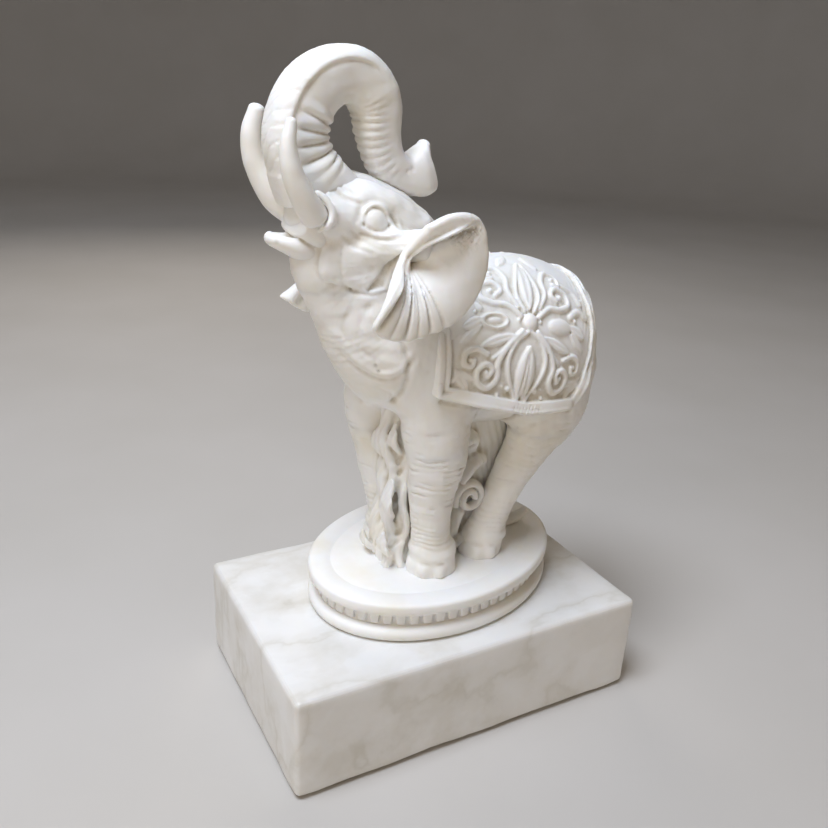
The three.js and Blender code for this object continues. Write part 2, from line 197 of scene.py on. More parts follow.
# Zinc passivated after plating: a faint mottle some 2 mm across, over bright metal.
bloom = add_node(tree, "TexNoise", {"Vector": spot, "Scale": 500.0, "Detail": 4.0})
tone = add_node(tree, "ValToRGB", {"Fac": bloom}, [(0.3, "#A9ACAF"), (0.7, "#C6C8C6")])
rough = add_node(tree, "MapRange", {"Value": bloom, "To Min": 0.28, "To Max": 0.45})
shader = add_node(tree, "BsdfPrincipled", {
    "Base Color": tone, "Metallic": 1.0, "Roughness": rough})
add_node(tree, "OutputMaterial", {"Surface": shader})
for node in ("threaded_stud", "washer", "hex_nut"):
    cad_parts[node].data.materials.clear()
    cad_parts[node].data.materials.append(zinc_finish)

# ---------------- marble block
# A sawn block of white marble, honed satin, its edges eased by hand so that they waver a little. It is
# drilled through for the stud, with a wide counterbore from below for the washer and nut.
MM = 0.001
BLOCK_EDGE = 0.0017
EDGE_WAVER = 0.00010
BLOCK_CUTS = 24
BORE_RADIUS, STUD_HOLE_RADIUS = 0.009, 0.0034
BORE_ROOM, DRILL_PAST = 0.0003, 0.01  # over the washer, and how far a drill runs past the stone
WAVES, WAVES_HEIGHT = 14, 3.7

marble_finish, tree, spot = new_material("honed_white_marble")
# Soft grey-beige clouds some 30 mm across, and thin veins that wander through them on a slant.
drift = add_node(tree, "TexNoise", {"Vector": spot, "Scale": 28.0, "Detail": 5.0, "Roughness": 0.6})
slant = add_node(tree, "Mapping", {"Vector": spot, "Rotation": (0.5, 0.35, 0.7), "Scale": (1, 2.4, 1)})
warp = add_node(tree, "VectorMath", {
    0: drift.outputs["Color"], 1: (0.035, 0.035, 0.035), 2: slant}, operation="MULTIPLY_ADD")
vein = add_node(tree, "TexNoise", {"Vector": warp, "Scale": 17.0, "Detail": 4.0})
away = add_node(tree, "Math", {0: vein, 1: 0.5}, operation="SUBTRACT")
near = add_node(tree, "Math", {0: away}, operation="ABSOLUTE")
veins = add_node(tree, "ValToRGB", {"Fac": near},
                 [(0.0, "#E4E1DA"), (0.03, "#EEECE8"), (0.1, "#F4F3F1")])
cloud = add_node(tree, "ValToRGB", {"Fac": drift},
                 [(0.34, "#DEDAD0"), (0.5, "#F1F0ED"), (1.0, "#F9F9F8")])
tone = add_node(tree, "Mix", {0: 0.75, 6: veins, 7: cloud},
                data_type="RGBA", blend_type="MULTIPLY")
crystal = add_node(tree, "TexNoise", {"Vector": spot, "Scale": 900.0, "Detail": 3.0})
rough = add_node(tree, "MapRange", {"Value": crystal, "To Min": 0.3, "To Max": 0.48})
bump = add_node(tree, "Bump", {"Height": crystal, "Strength": 0.12, "Distance": 0.0002})
shader = add_node(tree, "BsdfPrincipled", {
    "Base Color": tone.outputs[2], "Roughness": rough, "IOR": 1.5,
    "Subsurface Weight": 0.35, "Subsurface Radius": (1.0, 0.85, 0.7), "Subsurface Scale": 0.003,
    "Normal": bump}, subsurface_method="RANDOM_WALK")
add_node(tree, "OutputMaterial", {"Surface": shader})


def waver(points, reach, seed):
    """A smooth unevenness of about one millimetre's height at each point, its waves as long as the reach."""
    draw = np.random.default_rng(seed)
    total = np.zeros(len(points))
    for _ in range(WAVES):
        way = draw.normal(size=3)
        way *= 2 * math.pi / (reach * draw.uniform(0.6, 1.6) * np.linalg.norm(way))
        total += np.sin(points @ way + draw.uniform(0, 2 * math.pi))
    return total / WAVES_HEIGHT


def hump(x, middle, width):
    """A smooth hump of height 1 over the middle."""
    return np.exp(-(((x - middle) / width) ** 2))


def corners_of(mesh):
    """Where the mesh's corners are, one to a row."""
    spots = np.empty(len(mesh.vertices) * 3)
    mesh.vertices.foreach_get("co", spots)
    return spots.reshape(-1, 3)


low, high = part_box("marble_block")
block = start_from(bpy.ops.mesh.primitive_cube_add, "marble_base", size=1, location=(low + high) / 2,
                   scale=high - low)
bpy.ops.object.transform_apply(location=True, rotation=True, scale=True)
bpy.ops.object.mode_set(mode="EDIT")
bpy.ops.mesh.select_all(action="SELECT")
bpy.ops.mesh.bevel(offset=BLOCK_EDGE, segments=4)
bpy.ops.mesh.select_all(action="SELECT")
bpy.ops.mesh.subdivide(number_cuts=BLOCK_CUTS)
bpy.ops.object.mode_set(mode="OBJECT")
stud_low, stud_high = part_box("threaded_stud")
middle = (stud_low + stud_high) / 2
bore_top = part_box("washer")[1].z + BORE_ROOM
for radius, top in ((BORE_RADIUS, bore_top), (STUD_HOLE_RADIUS, high.z + DRILL_PAST)):
    tall = top - (low.z - DRILL_PAST)
    drill = start_from(bpy.ops.mesh.primitive_cylinder_add, "drill", vertices=48, radius=radius, depth=tall,
                       location=(middle.x, middle.y, top - tall / 2))
    bpy.context.view_layer.objects.active = block
    bore = block.modifiers.new("bore", "BOOLEAN")
    bore.object = drill
    bpy.ops.object.modifier_apply(modifier="bore")
    bpy.data.objects.remove(drill)
spots = corners_of(block.data)
middle = np.array((low + high) / 2)
half = np.array((high - low) / 2)
# Each edge's corner line is worn back by a share that comes and goes along it.
inward = np.sort((half - np.abs(spots - middle)), axis=1)[:, 1]
near_edge = hump(inward, 0, 1.6 * BLOCK_EDGE)
worn = (0.5 + 0.5 * waver(spots / MM, 14.0, 5)) * near_edge * EDGE_WAVER * 2
spots -= np.sign(spots - middle) * worn[:, None] * (np.abs(spots - middle) > half - 2 * BLOCK_EDGE)
block.data.vertices.foreach_set("co", spots.ravel())
block.data.update()
block.data.materials.append(marble_finish)
bpy.ops.object.select_all(action="DESELECT")
block.select_set(True)
bpy.context.view_layer.objects.active = block
bpy.ops.object.shade_smooth_by_angle(angle=math.radians(35))
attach(block, "root")
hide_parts("marble_block")

# ---------------- oval plinth
# The casting's own foot, in one with the elephant: a torus, a sunk frieze with a row of leaf blocks, and a
# thick top with a round rim. It stands turned a little on the block, and the stud holds it down.
PLINTH_TURN = math.radians(14)
PLINTH_PROFILE = [
    # how far in from the rim, and how high over the plinth's base, in mm
    (15.0, 0.0), (9.0, 0.0), (1.4, 0.0), (0.6, 0.5), (0.2, 1.3), (0.1, 2.3), (0.4, 3.2), (1.1, 3.9),
    (2.0, 4.25), (3.1, 4.35), (3.3, 4.7), (3.3, 8.8), (3.0, 9.15), (0.9, 9.25), (0.35, 9.45), (0.05, 9.9),
    (0.0, 10.7), (0.0, 12.0), (0.15, 12.5), (0.5, 12.85), (1.1, 13.0), (6.7, 12.99), (7.0, 12.84),
    (7.4, 12.84), (7.8, 12.99), (16.0, 13.0),
]
ROUND_STEPS = 160
FRIEZE_INSET, FRIEZE_LEVEL = 3.3, 6.75
LEAF_COUNT = 58
LEAF_BLOCK = (3.2, 2.8, 3.8)  # along the frieze, through it and up, in mm
LEAF_SINK, LEAF_EDGE, LEAF_TAPER = 0.45, 0.55, 0.22

casting_finish, tree, spot = new_material("cast_bonded_marble")
# Marble dust in resin, dulled by handling: broad ivory patches over the white, and the hollows darkened to a
# warm tan by grime and painted shade.
patch = add_node(tree, "TexNoise", {"Vector": spot, "Scale": 45.0, "Detail": 4.0, "Roughness": 0.55})
body = add_node(tree, "ValToRGB", {"Fac": patch},
                [(0.30, "#EFEADD"), (0.52, "#F5F3EE"), (0.75, "#F8F7F5")])
# Grime and painted shade: the sunk parts are darkened towards a warm tan where shade falls, flecked by the
# fine speckle.
hollow = add_node(tree, "Attribute", attribute_name="hollow")
speck = add_node(tree, "TexNoise", {"Vector": spot, "Scale": 420.0, "Detail": 5.0, "Roughness": 0.65})
hollow_grime_and_shade = add_node(tree, "Math", {0: hollow.outputs["Fac"], 1: speck}, operation="MULTIPLY")
grime_and_shade_share = add_node(tree, "MapRange", {
    "Value": hollow_grime_and_shade, "From Min": 0.08, "From Max": 0.7, "To Min": 0.0, "To Max": 0.8})
tone = add_node(tree, "Mix", {0: grime_and_shade_share, 6: body, 7: linear("#B3A585")},
                data_type="RGBA")
# The pinholes are coloured a dark grey-brown.
pits = add_node(tree, "Attribute", attribute_name="pit")
tone = add_node(tree, "Mix", {0: pits.outputs["Fac"], 6: tone.outputs[2], 7: linear("#7C735C")},
                data_type="RGBA")
rough = add_node(tree, "MapRange", {"Value": speck, "To Min": 0.42, "To Max": 0.62})
bump = add_node(tree, "Bump", {"Height": speck, "Strength": 0.16, "Distance": 0.0003})
shader = add_node(tree, "BsdfPrincipled", {
    "Base Color": tone.outputs[2], "Roughness": rough, "IOR": 1.5,
    "Subsurface Weight": 0.3, "Subsurface Radius": (1.0, 0.8, 0.55), "Subsurface Scale": 0.002,
    "Normal": bump}, subsurface_method="RANDOM_WALK")
add_node(tree, "OutputMaterial", {"Surface": shader})

low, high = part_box("plinth")
middle = (low + high) / 2
half = (high - low) / 2
cos2, sin2 = math.cos(PLINTH_TURN) ** 2, math.sin(PLINTH_TURN) ** 2
oval_long = math.sqrt((half.x**2 * cos2 - half.y**2 * sin2) / (cos2 - sin2))
oval_wide = math.sqrt((half.y**2 * cos2 - half.x**2 * sin2) / (cos2 - sin2))
profile_rise = (high.z - low.z) / (PLINTH_PROFILE[-1][1] * MM)
on_block = Matrix.Translation((middle.x, middle.y, low.z)) @ Matrix.Rotation(PLINTH_TURN, 4, "Z")

plinth = start_from(bpy.ops.mesh.primitive_circle_add, "oval_plinth", vertices=ROUND_STEPS, radius=1,
                    fill_type="NGON", location=(0, 0, 0))
bpy.ops.object.mode_set(mode="EDIT")
bpy.ops.mesh.select_all(action="SELECT")
for _ in PLINTH_PROFILE[1:]:
    bpy.ops.mesh.extrude_region_move(TRANSFORM_OT_translate={"value": (0, 0, 1)})
bpy.ops.mesh.select_all(action="SELECT")
bpy.ops.mesh.normals_make_consistent(inside=False)
bpy.ops.object.mode_set(mode="OBJECT")
spots = corners_of(plinth.data)
ring = np.rint(spots[:, 2]).astype(int)
angle = np.arctan2(spots[:, 1], spots[:, 0])
profile = np.array(PLINTH_PROFILE)
inset = profile[ring, 0] * MM
spots[:, 0] = (oval_long - inset) * np.cos(angle)
spots[:, 1] = (oval_wide - inset) * np.sin(angle)
spots[:, 2] = profile[ring, 1] * MM * profile_rise
plinth.data.vertices.foreach_set("co", spots.ravel())
plinth.data.transform(on_block)
plinth.data.update()
leaf = start_from(bpy.ops.mesh.primitive_cube_add, "leaf", size=1, location=(0, 0, 0),
                  scale=[side * MM for side in LEAF_BLOCK])
bpy.ops.object.transform_apply(location=True, rotation=True, scale=True)
bpy.ops.object.mode_set(mode="EDIT")
bpy.ops.mesh.select_all(action="SELECT")
bpy.ops.mesh.bevel(offset=LEAF_EDGE * MM, segments=3)
bpy.ops.object.mode_set(mode="OBJECT")
for corner in leaf.data.vertices:  # each block tapers downwards like a leaf
    corner.co.x *= 1 - LEAF_TAPER * (0.5 - corner.co.z / (LEAF_BLOCK[2] * MM))
leaves = []
frieze_long = oval_long - (FRIEZE_INSET + LEAF_SINK) * MM
frieze_wide = oval_wide - (FRIEZE_INSET + LEAF_SINK) * MM
for n in range(LEAF_COUNT):
    a = 2 * math.pi * n / LEAF_COUNT
    a += 0.5 * (oval_long - oval_wide) / (oval_long + oval_wide) * math.sin(2 * a)
    out_way = math.atan2(math.sin(a) / frieze_wide, math.cos(a) / frieze_long)
    copy = leaf.copy()
    copy.data = leaf.data.copy()
    bpy.context.scene.collection.objects.link(copy)
    place = Vector((frieze_long * math.cos(a), frieze_wide * math.sin(a), FRIEZE_LEVEL * MM * profile_rise))
    copy.data.transform(Matrix.Translation(place) @ Matrix.Rotation(out_way - math.pi / 2, 4, "Z"))
    copy.data.transform(on_block)
    leaves.append(copy)
bpy.data.objects.remove(leaf)
bpy.ops.object.select_all(action="DESELECT")
for copy in leaves:
    copy.select_set(True)
plinth.select_set(True)
bpy.context.view_layer.objects.active = plinth
bpy.ops.object.join()
plinth.data.materials.clear()
plinth.data.materials.append(casting_finish)
bpy.ops.object.shade_smooth_by_angle(angle=math.radians(50))
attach(plinth, "root")
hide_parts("plinth")

# ---------------- body, legs and head
# The barrel, neck, four legs and head are one skin, as in the mould: folds at the chest and groin, worn
# wrinkles down the legs, rings at the ankles, three nails to a foot, a cheek patch and a lidded eye.
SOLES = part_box("foreleg_left")[0].z / MM

# They are modelled as a sculptor builds them: swept limbs are pressed together and smoothed, folds are
# pressed in or raised, and the result is cast. A form gives the height over its surface at each point, in mm.
FAR = 9.0  # the height that a form gives wherever it is further off
BATCH = 40000  # points looked up at a time


def smooth_route(stations, spacing=1.0):
    """The stations' smooth line at even steps: rows of place and sizes."""
    rows = np.array(stations, float)
    ends = np.vstack([2 * rows[0] - rows[1], rows, 2 * rows[-1] - rows[-2]])
    t = np.linspace(0, 1, 12, endpoint=False)[:, None]
    bits = [
        0.5 * (2 * b + (c - a) * t + (2 * a - 5 * b + 4 * c - d) * t**2 + (3 * b - a - 3 * c + d) * t**3)
        for a, b, c, d in zip(ends, ends[1:], ends[2:], ends[3:])
    ]
    line = np.vstack(bits + [rows[-1:]])
    width = 2 if len(stations[0]) < 3 else 3
    run = np.concatenate([[0], np.cumsum(np.linalg.norm(np.diff(line[:, :width], axis=0), axis=1))])
    even = np.linspace(0, run[-1], max(3, int(run[-1] / spacing) + 1))
    return np.stack([np.interp(even, run, line[:, k]) for k in range(line.shape[1])], 1), even[1]


def nearest_on(points, line):
    """Which of the line's points is nearest to each point."""
    lengths = (line**2).sum(1)
    picks = np.empty(len(points), int)
    for start in range(0, len(points), BATCH):
        part = points[start : start + BATCH]
        picks[start : start + BATCH] = (lengths - 2 * part @ line.T).argmin(1)
    return picks


def within(points, low, high):
    """Which points lie inside a box."""
    return np.flatnonzero(((points > low) & (points < high)).all(1))


def limb(stations, caps, squareness=2.0, relief=None, side_way=(0, 1, 0)):
    """A round-ended swept oval. Stations are (x, y, z, half width, half depth); relief stands out of it."""
    full = [s if len(s) == 5 else (*s, s[3]) for s in stations]
    line, step = smooth_route(full)
    spots, sizes = line[:, :3], line[:, 3:]
    way = np.gradient(spots, axis=0)
    way /= np.linalg.norm(way, axis=1)[:, None]
    side = np.array(side_way) - way * (way @ np.array(side_way))[:, None]
    side /= np.linalg.norm(side, axis=1)[:, None]
    down = np.cross(side, way)
    margin = sizes.max() + max(caps) + 6
    low, high = spots.min(0) - margin, spots.max(0) + margin

    def form(points):
        value = np.full(len(points), FAR)
        near = within(points, low, high)
        here = points[near]
        pick = nearest_on(here, spots)
        part = pick + ((here - spots[pick]) * way[pick]).sum(1) / step
        a = np.clip(np.floor(part), 0, len(spots) - 2).astype(int)
        f = np.clip(part - a, 0, 1)[:, None]
        mix = lambda rows: rows[a] * (1 - f) + rows[a + 1] * f
        off = here - mix(spots)
        size = mix(sizes)
        across, deep = (off * mix(side)).sum(1), (off * mix(down)).sum(1)
        beyond = np.where(part < 0, part, np.maximum(part - (len(spots) - 1), 0)) * step
        cap = np.where(part < 0, caps[0], caps[1])
        e = np.abs(np.stack([across / size[:, 0], deep / size[:, 1], beyond / cap], 1)) + 1e-6
        share = np.hypot(((e[:, :2] ** squareness).sum(1)) ** (1 / squareness), e[:, 2])
        slope = np.sqrt((e[:, 0] / size[:, 0]) ** 2 + (e[:, 1] / size[:, 1]) ** 2 + (e[:, 2] / cap) ** 2)
        got = (share - 1) * share / slope
        if relief is not None:
            got = got - relief(part * step, across / size[:, 0], deep / size[:, 1], here)
        value[near] = np.minimum(got, FAR)
        return value

    return form


def pressed(a, b, k):
    """Two forms pressed together, the seam filled over a width of about k."""
    h = np.clip(k - np.abs(a - b), 0, None) / k
    return np.minimum(a, b) - h * h * k / 4


def cut_away(a, b, k):
    """Form a with form b scooped out of it, the lip rounded over k."""
    return -pressed(-a, b, k)


def fade(x, start, end):
    t = np.clip((x - start) / (end - start), 0, 1)
    return t * t * (3 - 2 * t)


def press_on(points, value, *batches):
    """The value with each batch of forms pressed onto it in turn, over the batch's width."""
    for width, forms in batches:
        for form in forms:
            value = pressed(value, form(points), width)
    return value


def fold(route, width, depth, start=4.0):
    """A line pressed into both flanks, drawn by (x, z) as seen from the side; a negative depth raises it."""
    line, _ = smooth_route(route, 0.5)
    low, high = line.min(0) - 3 * width, line.max(0) + 3 * width

    def press(points, value):
        flat, y = points[:, [0, 2]], np.abs(points[:, 1])
        near = np.flatnonzero(((flat > low) & (flat < high)).all(1) & (y > start - 2) & (np.abs(value) < 6))
        here = flat[near]
        gap = np.linalg.norm(here - line[nearest_on(here, line)], axis=1)
        value[near] += depth * hump(gap, 0, width) * fade(y[near], start - 2, start)
        return value

    return press


def dab(place, radius, height, stretch=(1, 1, 1)):
    """A small mound, or a pit where its height is negative."""
    place, stretch = np.array(place, float), np.array(stretch, float)

    def press(points, value):
        near = np.flatnonzero((np.abs(points - place) < 3 * radius * stretch).all(1))
        gap = (((points[near] - place) / (radius * stretch)) ** 2).sum(1)
        value[near] -= height * np.exp(-gap)
        return value

    return press


COARSE, BAND_SHARE = 4, 1.15  # the first lattice's steps, and how far about the surface it is filled in
PROBE = 0.12


def cast(form, low, high, grain):
    """The form's surface as a mesh of four-sided faces about as wide as the grain, in mm."""
    low, high = np.array(low, float), np.array(high, float)
    pitch = grain * 1.0  # a rough look is worked in coarser clay
    count = np.ceil((high - low) / (pitch * COARSE)).astype(int) + 1
    coarse = np.stack(np.meshgrid(*[np.arange(n) for n in count], indexing="ij"), -1)
    field = form(low + coarse.reshape(-1, 3) * pitch * COARSE).reshape(count)
    for axis in range(3):
        at = np.arange((field.shape[axis] - 1) * COARSE + 1) / COARSE
        below = np.minimum(at.astype(int), field.shape[axis] - 2)
        part = (at - below).reshape([-1 if k == axis else 1 for k in range(3)])
        field = np.take(field, below, axis) * (1 - part) + np.take(field, below + 1, axis) * part
    band = np.abs(field) < pitch * COARSE * BAND_SHARE
    field[band] = form(low + np.argwhere(band) * pitch)
    grid = openvdb.FloatGrid(FAR)
    grid.copyFromArray(field.astype(np.float32))
    points, quads = grid.convertToQuads(isovalue=0.0)
    points = low + points.astype(float) * pitch
    for _ in range(2):
        value = form(points)
        slope = np.stack([form(points + PROBE * np.eye(3)[k]) - value for k in range(3)], 1) / PROBE
        size = np.clip((slope**2).sum(1), 0.4, None)
        points -= np.clip(value / size, -pitch, pitch)[:, None] * slope
    return points, quads


def corner_ways(points, quads):
    across = points[quads[:, 2]] - points[quads[:, 0]]
    along = points[quads[:, 3]] - points[quads[:, 1]]
    face = np.cross(across, along)
    total = np.zeros_like(points)
    for k in range(4):
        for axis in range(3):
            total[:, axis] += np.bincount(quads[:, k], face[:, axis], minlength=len(points))
    return total / np.maximum(np.linalg.norm(total, axis=1), 1e-9)[:, None]


def hollows_of(points, quads):
    """How sunk each corner lies against its surroundings, from 0 to 1."""
    edges = np.concatenate([quads[:, [k, (k + 1) % 4]] for k in range(4)])
    order = np.argsort(edges[:, 0], kind="stable")
    a, b = edges[order, 0], edges[order, 1]
    count = np.bincount(a, minlength=len(points))[:, None]
    normal = corner_ways(points, quads)
    smooth = points
    deep = np.zeros(len(points))
    for round_ in range(1, 13):
        total = np.stack([np.bincount(a, smooth[b, k], minlength=len(points)) for k in range(3)], 1)
        smooth = total / np.maximum(count, 1)
        if round_ in (4, 12):
            deep = np.maximum(deep, ((smooth - points) * normal).sum(1))
    for _ in range(3):
        deep = np.bincount(a, deep[b], minlength=len(points)) / np.maximum(count[:, 0], 1)
    return np.clip(deep / 0.26, 0, 1)


# Pinholes left by bubbles in the resin, coloured dark inside: where each is, and its radius.
PIT_SPOTS = [((-37.4 + 0.35 * (k % 2), -10.6, 101.3 - 1.15 * k), 0.26 + 0.05 * (k % 3)) for k in range(6)]
PIT_SPOTS += [((-35.6, -10.4, 92.4), 0.3), ((-33.6, -11.6, 91.5), 0.34), ((-12.4, -21.6, 55.5), 0.4),
              ((-27, -14.5, 70.5), 0.4), ((-26, -14.6, 68.8), 0.32)]
PIT_DEPTH = 0.5


def make_piece(name, node, points, quads, normals=None, hollow=None):
    """A mesh object in metres from millimetre corners over the soles, closed where it was divided."""
    used, quads = np.unique(quads, return_inverse=True)
    quads = quads.reshape(-1, 4)
    points = points[used]
    normals = corner_ways(points, quads) if normals is None else normals[used]
    hollow = hollows_of(points, quads) if hollow is None else hollow[used]
    edges = np.concatenate([quads[:, [k, (k + 1) % 4]] for k in range(4)])
    keys = edges[:, 0].astype(np.int64) * len(points) + edges[:, 1]
    back = edges[:, 1].astype(np.int64) * len(points) + edges[:, 0]
    rim = edges[~np.isin(back, keys)]
    follow = {int(b): int(a) for a, b in rim}
    faces = quads.tolist()
    extra, extra_ways = [], []
    while follow:
        first, at = follow.popitem()
        ring = [first]
        while at != first and at in follow:
            ring.append(at)
            at = follow.pop(at)
        hub = len(points) + len(extra)
        extra.append(points[ring].mean(0))
        extra_ways.append(-normals[ring].mean(0))
        faces += [(ring[k], ring[(k + 1) % len(ring)], hub) for k in range(len(ring))]
    if extra:
        points = np.vstack([points, extra])
        normals = np.vstack([normals, extra_ways])
        hollow = np.concatenate([hollow, np.zeros(len(extra))])
    mesh = bpy.data.meshes.new(name)
    mesh.from_pydata(((points + [0, 0, SOLES]) * MM).tolist(), [], faces)
    mesh.shade_smooth()
    if extra:
        mesh.normals_split_custom_set_from_vertices(normals.tolist())
    # How sunk each corner lies, which the casting's finish darkens as grime and painted shade.
    mesh.attributes.new("hollow", "FLOAT", "POINT").data.foreach_set("value", hollow.astype(np.float32))
    pit = np.zeros(len(points))
    for place, radius in PIT_SPOTS:
        gap = ((points - place) ** 2).sum(1)
        pit = np.maximum(pit, np.exp(-gap / (radius * 1.1) ** 2))
    mesh.attributes.new("pit", "FLOAT", "POINT").data.foreach_set("value", pit.astype(np.float32))
    mesh.materials.append(casting_finish)
    piece = bpy.data.objects.new(name, mesh)
    bpy.context.scene.collection.objects.link(piece)
    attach(piece, "root")
    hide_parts(node)


def cast_piece(name, node, form, low, high, grain):
    """A part of the casting that has a skin of its own."""
    make_piece(name, node, *cast(form, low, high, grain))


def mirrored(stations, caps, **more):
    """The same limb on the left side and on the right."""
    return [limb([(x, y * s, z, *sizes) for x, y, z, *sizes in stations], caps, **more) for s in (-1, 1)]


BARREL = [(-13, 0, 70.5, 18.5, 18.5), (4, 0, 68.8, 21, 23.6), (21, 0, 68.5, 22, 25.6),
          (35, 0, 67, 20.5, 23.1), (42, 0, 64.9, 17.5, 19.2)]
BARREL_ENDS = (18.5, 13.5)  # how far its round ends reach, at the chest and at the rump
NECK = [(-5, 0, 74.5, 19.5, 21.5), (-18, 0, 82, 18, 20), (-24.5, 0, 91, 15.5, 16.2)]
CRANIUM = [(-13, 0, 98, 13.5, 13), (-24, 0, 103, 15, 15.5), (-33, 0, 109, 13, 13), (-38, 0, 113, 10.5, 10.5)]
CHEEKS = [(-22, 0, 95, 14.5, 12), (-30, 0, 95.5, 13, 12), (-35, 0, 98, 11, 9.5)]
LEGS = {
    "foreleg_left": [(-3.5, -11.5, 64, 10, 12), (-5.5, -12.6, 52, 9.5, 11), (-5.0, -13.3, 40, 9.2, 9.2),
                     (-5.4, -12.5, 27, 7.3, 7.2), (-4.7, -12, 14, 6.1, 6.1), (-3.6, -11.7, 5, 7.3, 7.5),
                     (-3.3, -11.7, -3, 7.6, 7.9)],
    "foreleg_right": [(-8.5, 11, 64, 10, 11.5), (-13, 12, 50, 9.8, 10.4), (-11.3, 11.6, 37, 8.6, 9),
                      (-10.2, 11.3, 26, 7.3, 7.6), (-8.6, 11, 13, 6.2, 6.3), (-8, 11, 5, 6.8, 7),
                      (-8, 11, -3, 7, 7.4)],
    "hindleg_left": [(35.5, -10.5, 60, 10.5, 16.5), (35.5, -11.7, 48, 9.4, 13.4), (30.1, -11.8, 37, 7.7, 7.8),
                     (24.8, -10.6, 26, 6.3, 6.0), (20.5, -9.6, 15, 5.6, 5.4), (17.4, -9.2, 6, 6.4, 6.7),
                     (16.1, -9, -3, 6.9, 7.3)],
    "hindleg_right": [(36, 10.5, 60, 10.5, 16.5), (39, 12, 48, 9.8, 13), (40.5, 12, 36, 8.3, 9.5),
                      (39, 11, 24, 6.8, 7.2), (36.3, 10, 13, 6, 6.2), (34, 9.4, 5, 6.3, 6.6),
                      (33.5, 9.4, -3, 6.5, 6.8)],
}
ANKLE_RINGS = [(17.5, 0.18), (15.6, 0.26), (13.9, 0.3), (12.2, 0.34), (10.6, 0.36), (9.1, 0.28)]
NAILS = [(-48, 0.95), (-4, 1.1), (40, 1.15), (84, 0.95)]  # degrees from the toe to the outer side, and size
NAIL_LEVEL, CUTICLE_LEVEL = 1.7, 4.5
BELLY_LEVEL = 42
SKIN_GRAIN = 0.5
SOLE_CUT = -0.8  # the feet run this far into the plinth they are cast with


def leg_wrinkles(outward, strength, seed):
    """Fine level creases on the front and outer side, close at the knee, and rings round the ankle."""
    def relief(run, across, deep, points):
        z = points[:, 2] + 0.7 * waver(points, 13.0, seed)
        facing = np.clip(0.55 + 0.6 * deep + outward * across, 0, 1)
        patchy = np.clip(0.25 + 1.1 * waver(points * [1, 1, 1.6], 8.0, seed + 1), 0, 1)
        crease = np.clip(np.sin(2 * math.pi * z / 2.15), 0, 1) ** 4 * patchy
        crease += 0.5 * np.clip(np.sin(2 * math.pi * z / 6.1 + 1), 0, 1) ** 14 * np.clip(patchy + 0.3, 0, 1)
        out = -strength * crease * fade(z, 16, 21) * (1 - fade(z, 46, 56)) * (0.15 + 0.85 * facing)
        for level, depth in ANKLE_RINGS:
            out -= depth * hump(z, level, 0.45)
        out += 0.5 * hump(z, 7.2, 1.3)
        return out
    return relief


def hide(points):
    """The skin's fine unevenness."""
    return 0.03 * waver(points, 2.4, 39) + 0.08 * waver(points, 5.0, 40) + 0.18 * waver(points, 13.0, 41)


legs = []
for n, (name, stations) in enumerate(LEGS.items()):
    outward = -1 if "left" in name else 1
    strength = 0.46 if "fore" in name else 0.2
    legs.append(limb(stations, (7, 1), relief=leg_wrinkles(outward, strength, n * 7)))
barrel = limb(BARREL, BARREL_ENDS)
neck = limb(NECK, (12, 8))
cranium = limb(CRANIUM, (9, 7))
cheeks = limb(CHEEKS, (8, 6), squareness=2.5)
domes = [
    limb([(-34, 5.4 * s, 114.6 + drop, 5, 4.4), (-25, 6.4 * s, 113.2 + drop, 6.2, 5.2),
          (-13, 6.2 * s, 107 + drop, 6.2, 5)], (4, 5))
    for s, drop in ((-1, -0.9), (1, 0.5))
]
throat = limb([(-33, 0, 84, 8, 7), (-36.2, 0, 90, 7, 6.8), (-38.8, 0, 96, 6.4, 6.6),
               (-39.5, 0, 100, 6, 5.4)], (4, 2))
cheek_plates = mirrored([(-38.6, 8.4, 98.3, 3.2, 4.9), (-31, 11.4, 97.4, 3, 6), (-24, 13, 98, 3, 6)],
                        (2.4, 3), squareness=3.4)
sockets = mirrored([(-33, 7.4, 108.5, 5.4, 5.6), (-38, 9.6, 110.3, 4.1, 4.3), (-40.4, 10.4, 111.3, 3.4, 3.6)],
                   (3, 0.8))
ear_roots = mirrored([(-25, 11, 103, 5, 5), (-20.5, 16.5, 103, 3.6, 4.6), (-16.5, 20.5, 104, 2.8, 4)], (2, 2),
                     side_way=(1, 0, 0))
sheaths = mirrored([(-42.6, 11.4, 116, 0.8), (-40.6, 12.6, 114.2, 1.1), (-39.6, 13.4, 111.4, 1.25),
                    (-40.5, 13.3, 108.6, 1.15), (-42.8, 12.6, 107.2, 0.85)], (1, 1), side_way=(0.5, 0.2, 0.8))

LID = [(-31.2, 108.6), (-30.6, 110.8), (-28.6, 112.3), (-26.3, 112), (-24.8, 110.2), (-24.2, 108)]
BROW = [(-33, 109.6), (-31.6, 112.4), (-28.6, 114.2), (-25, 113.6), (-22.6, 111), (-21.8, 108.4)]
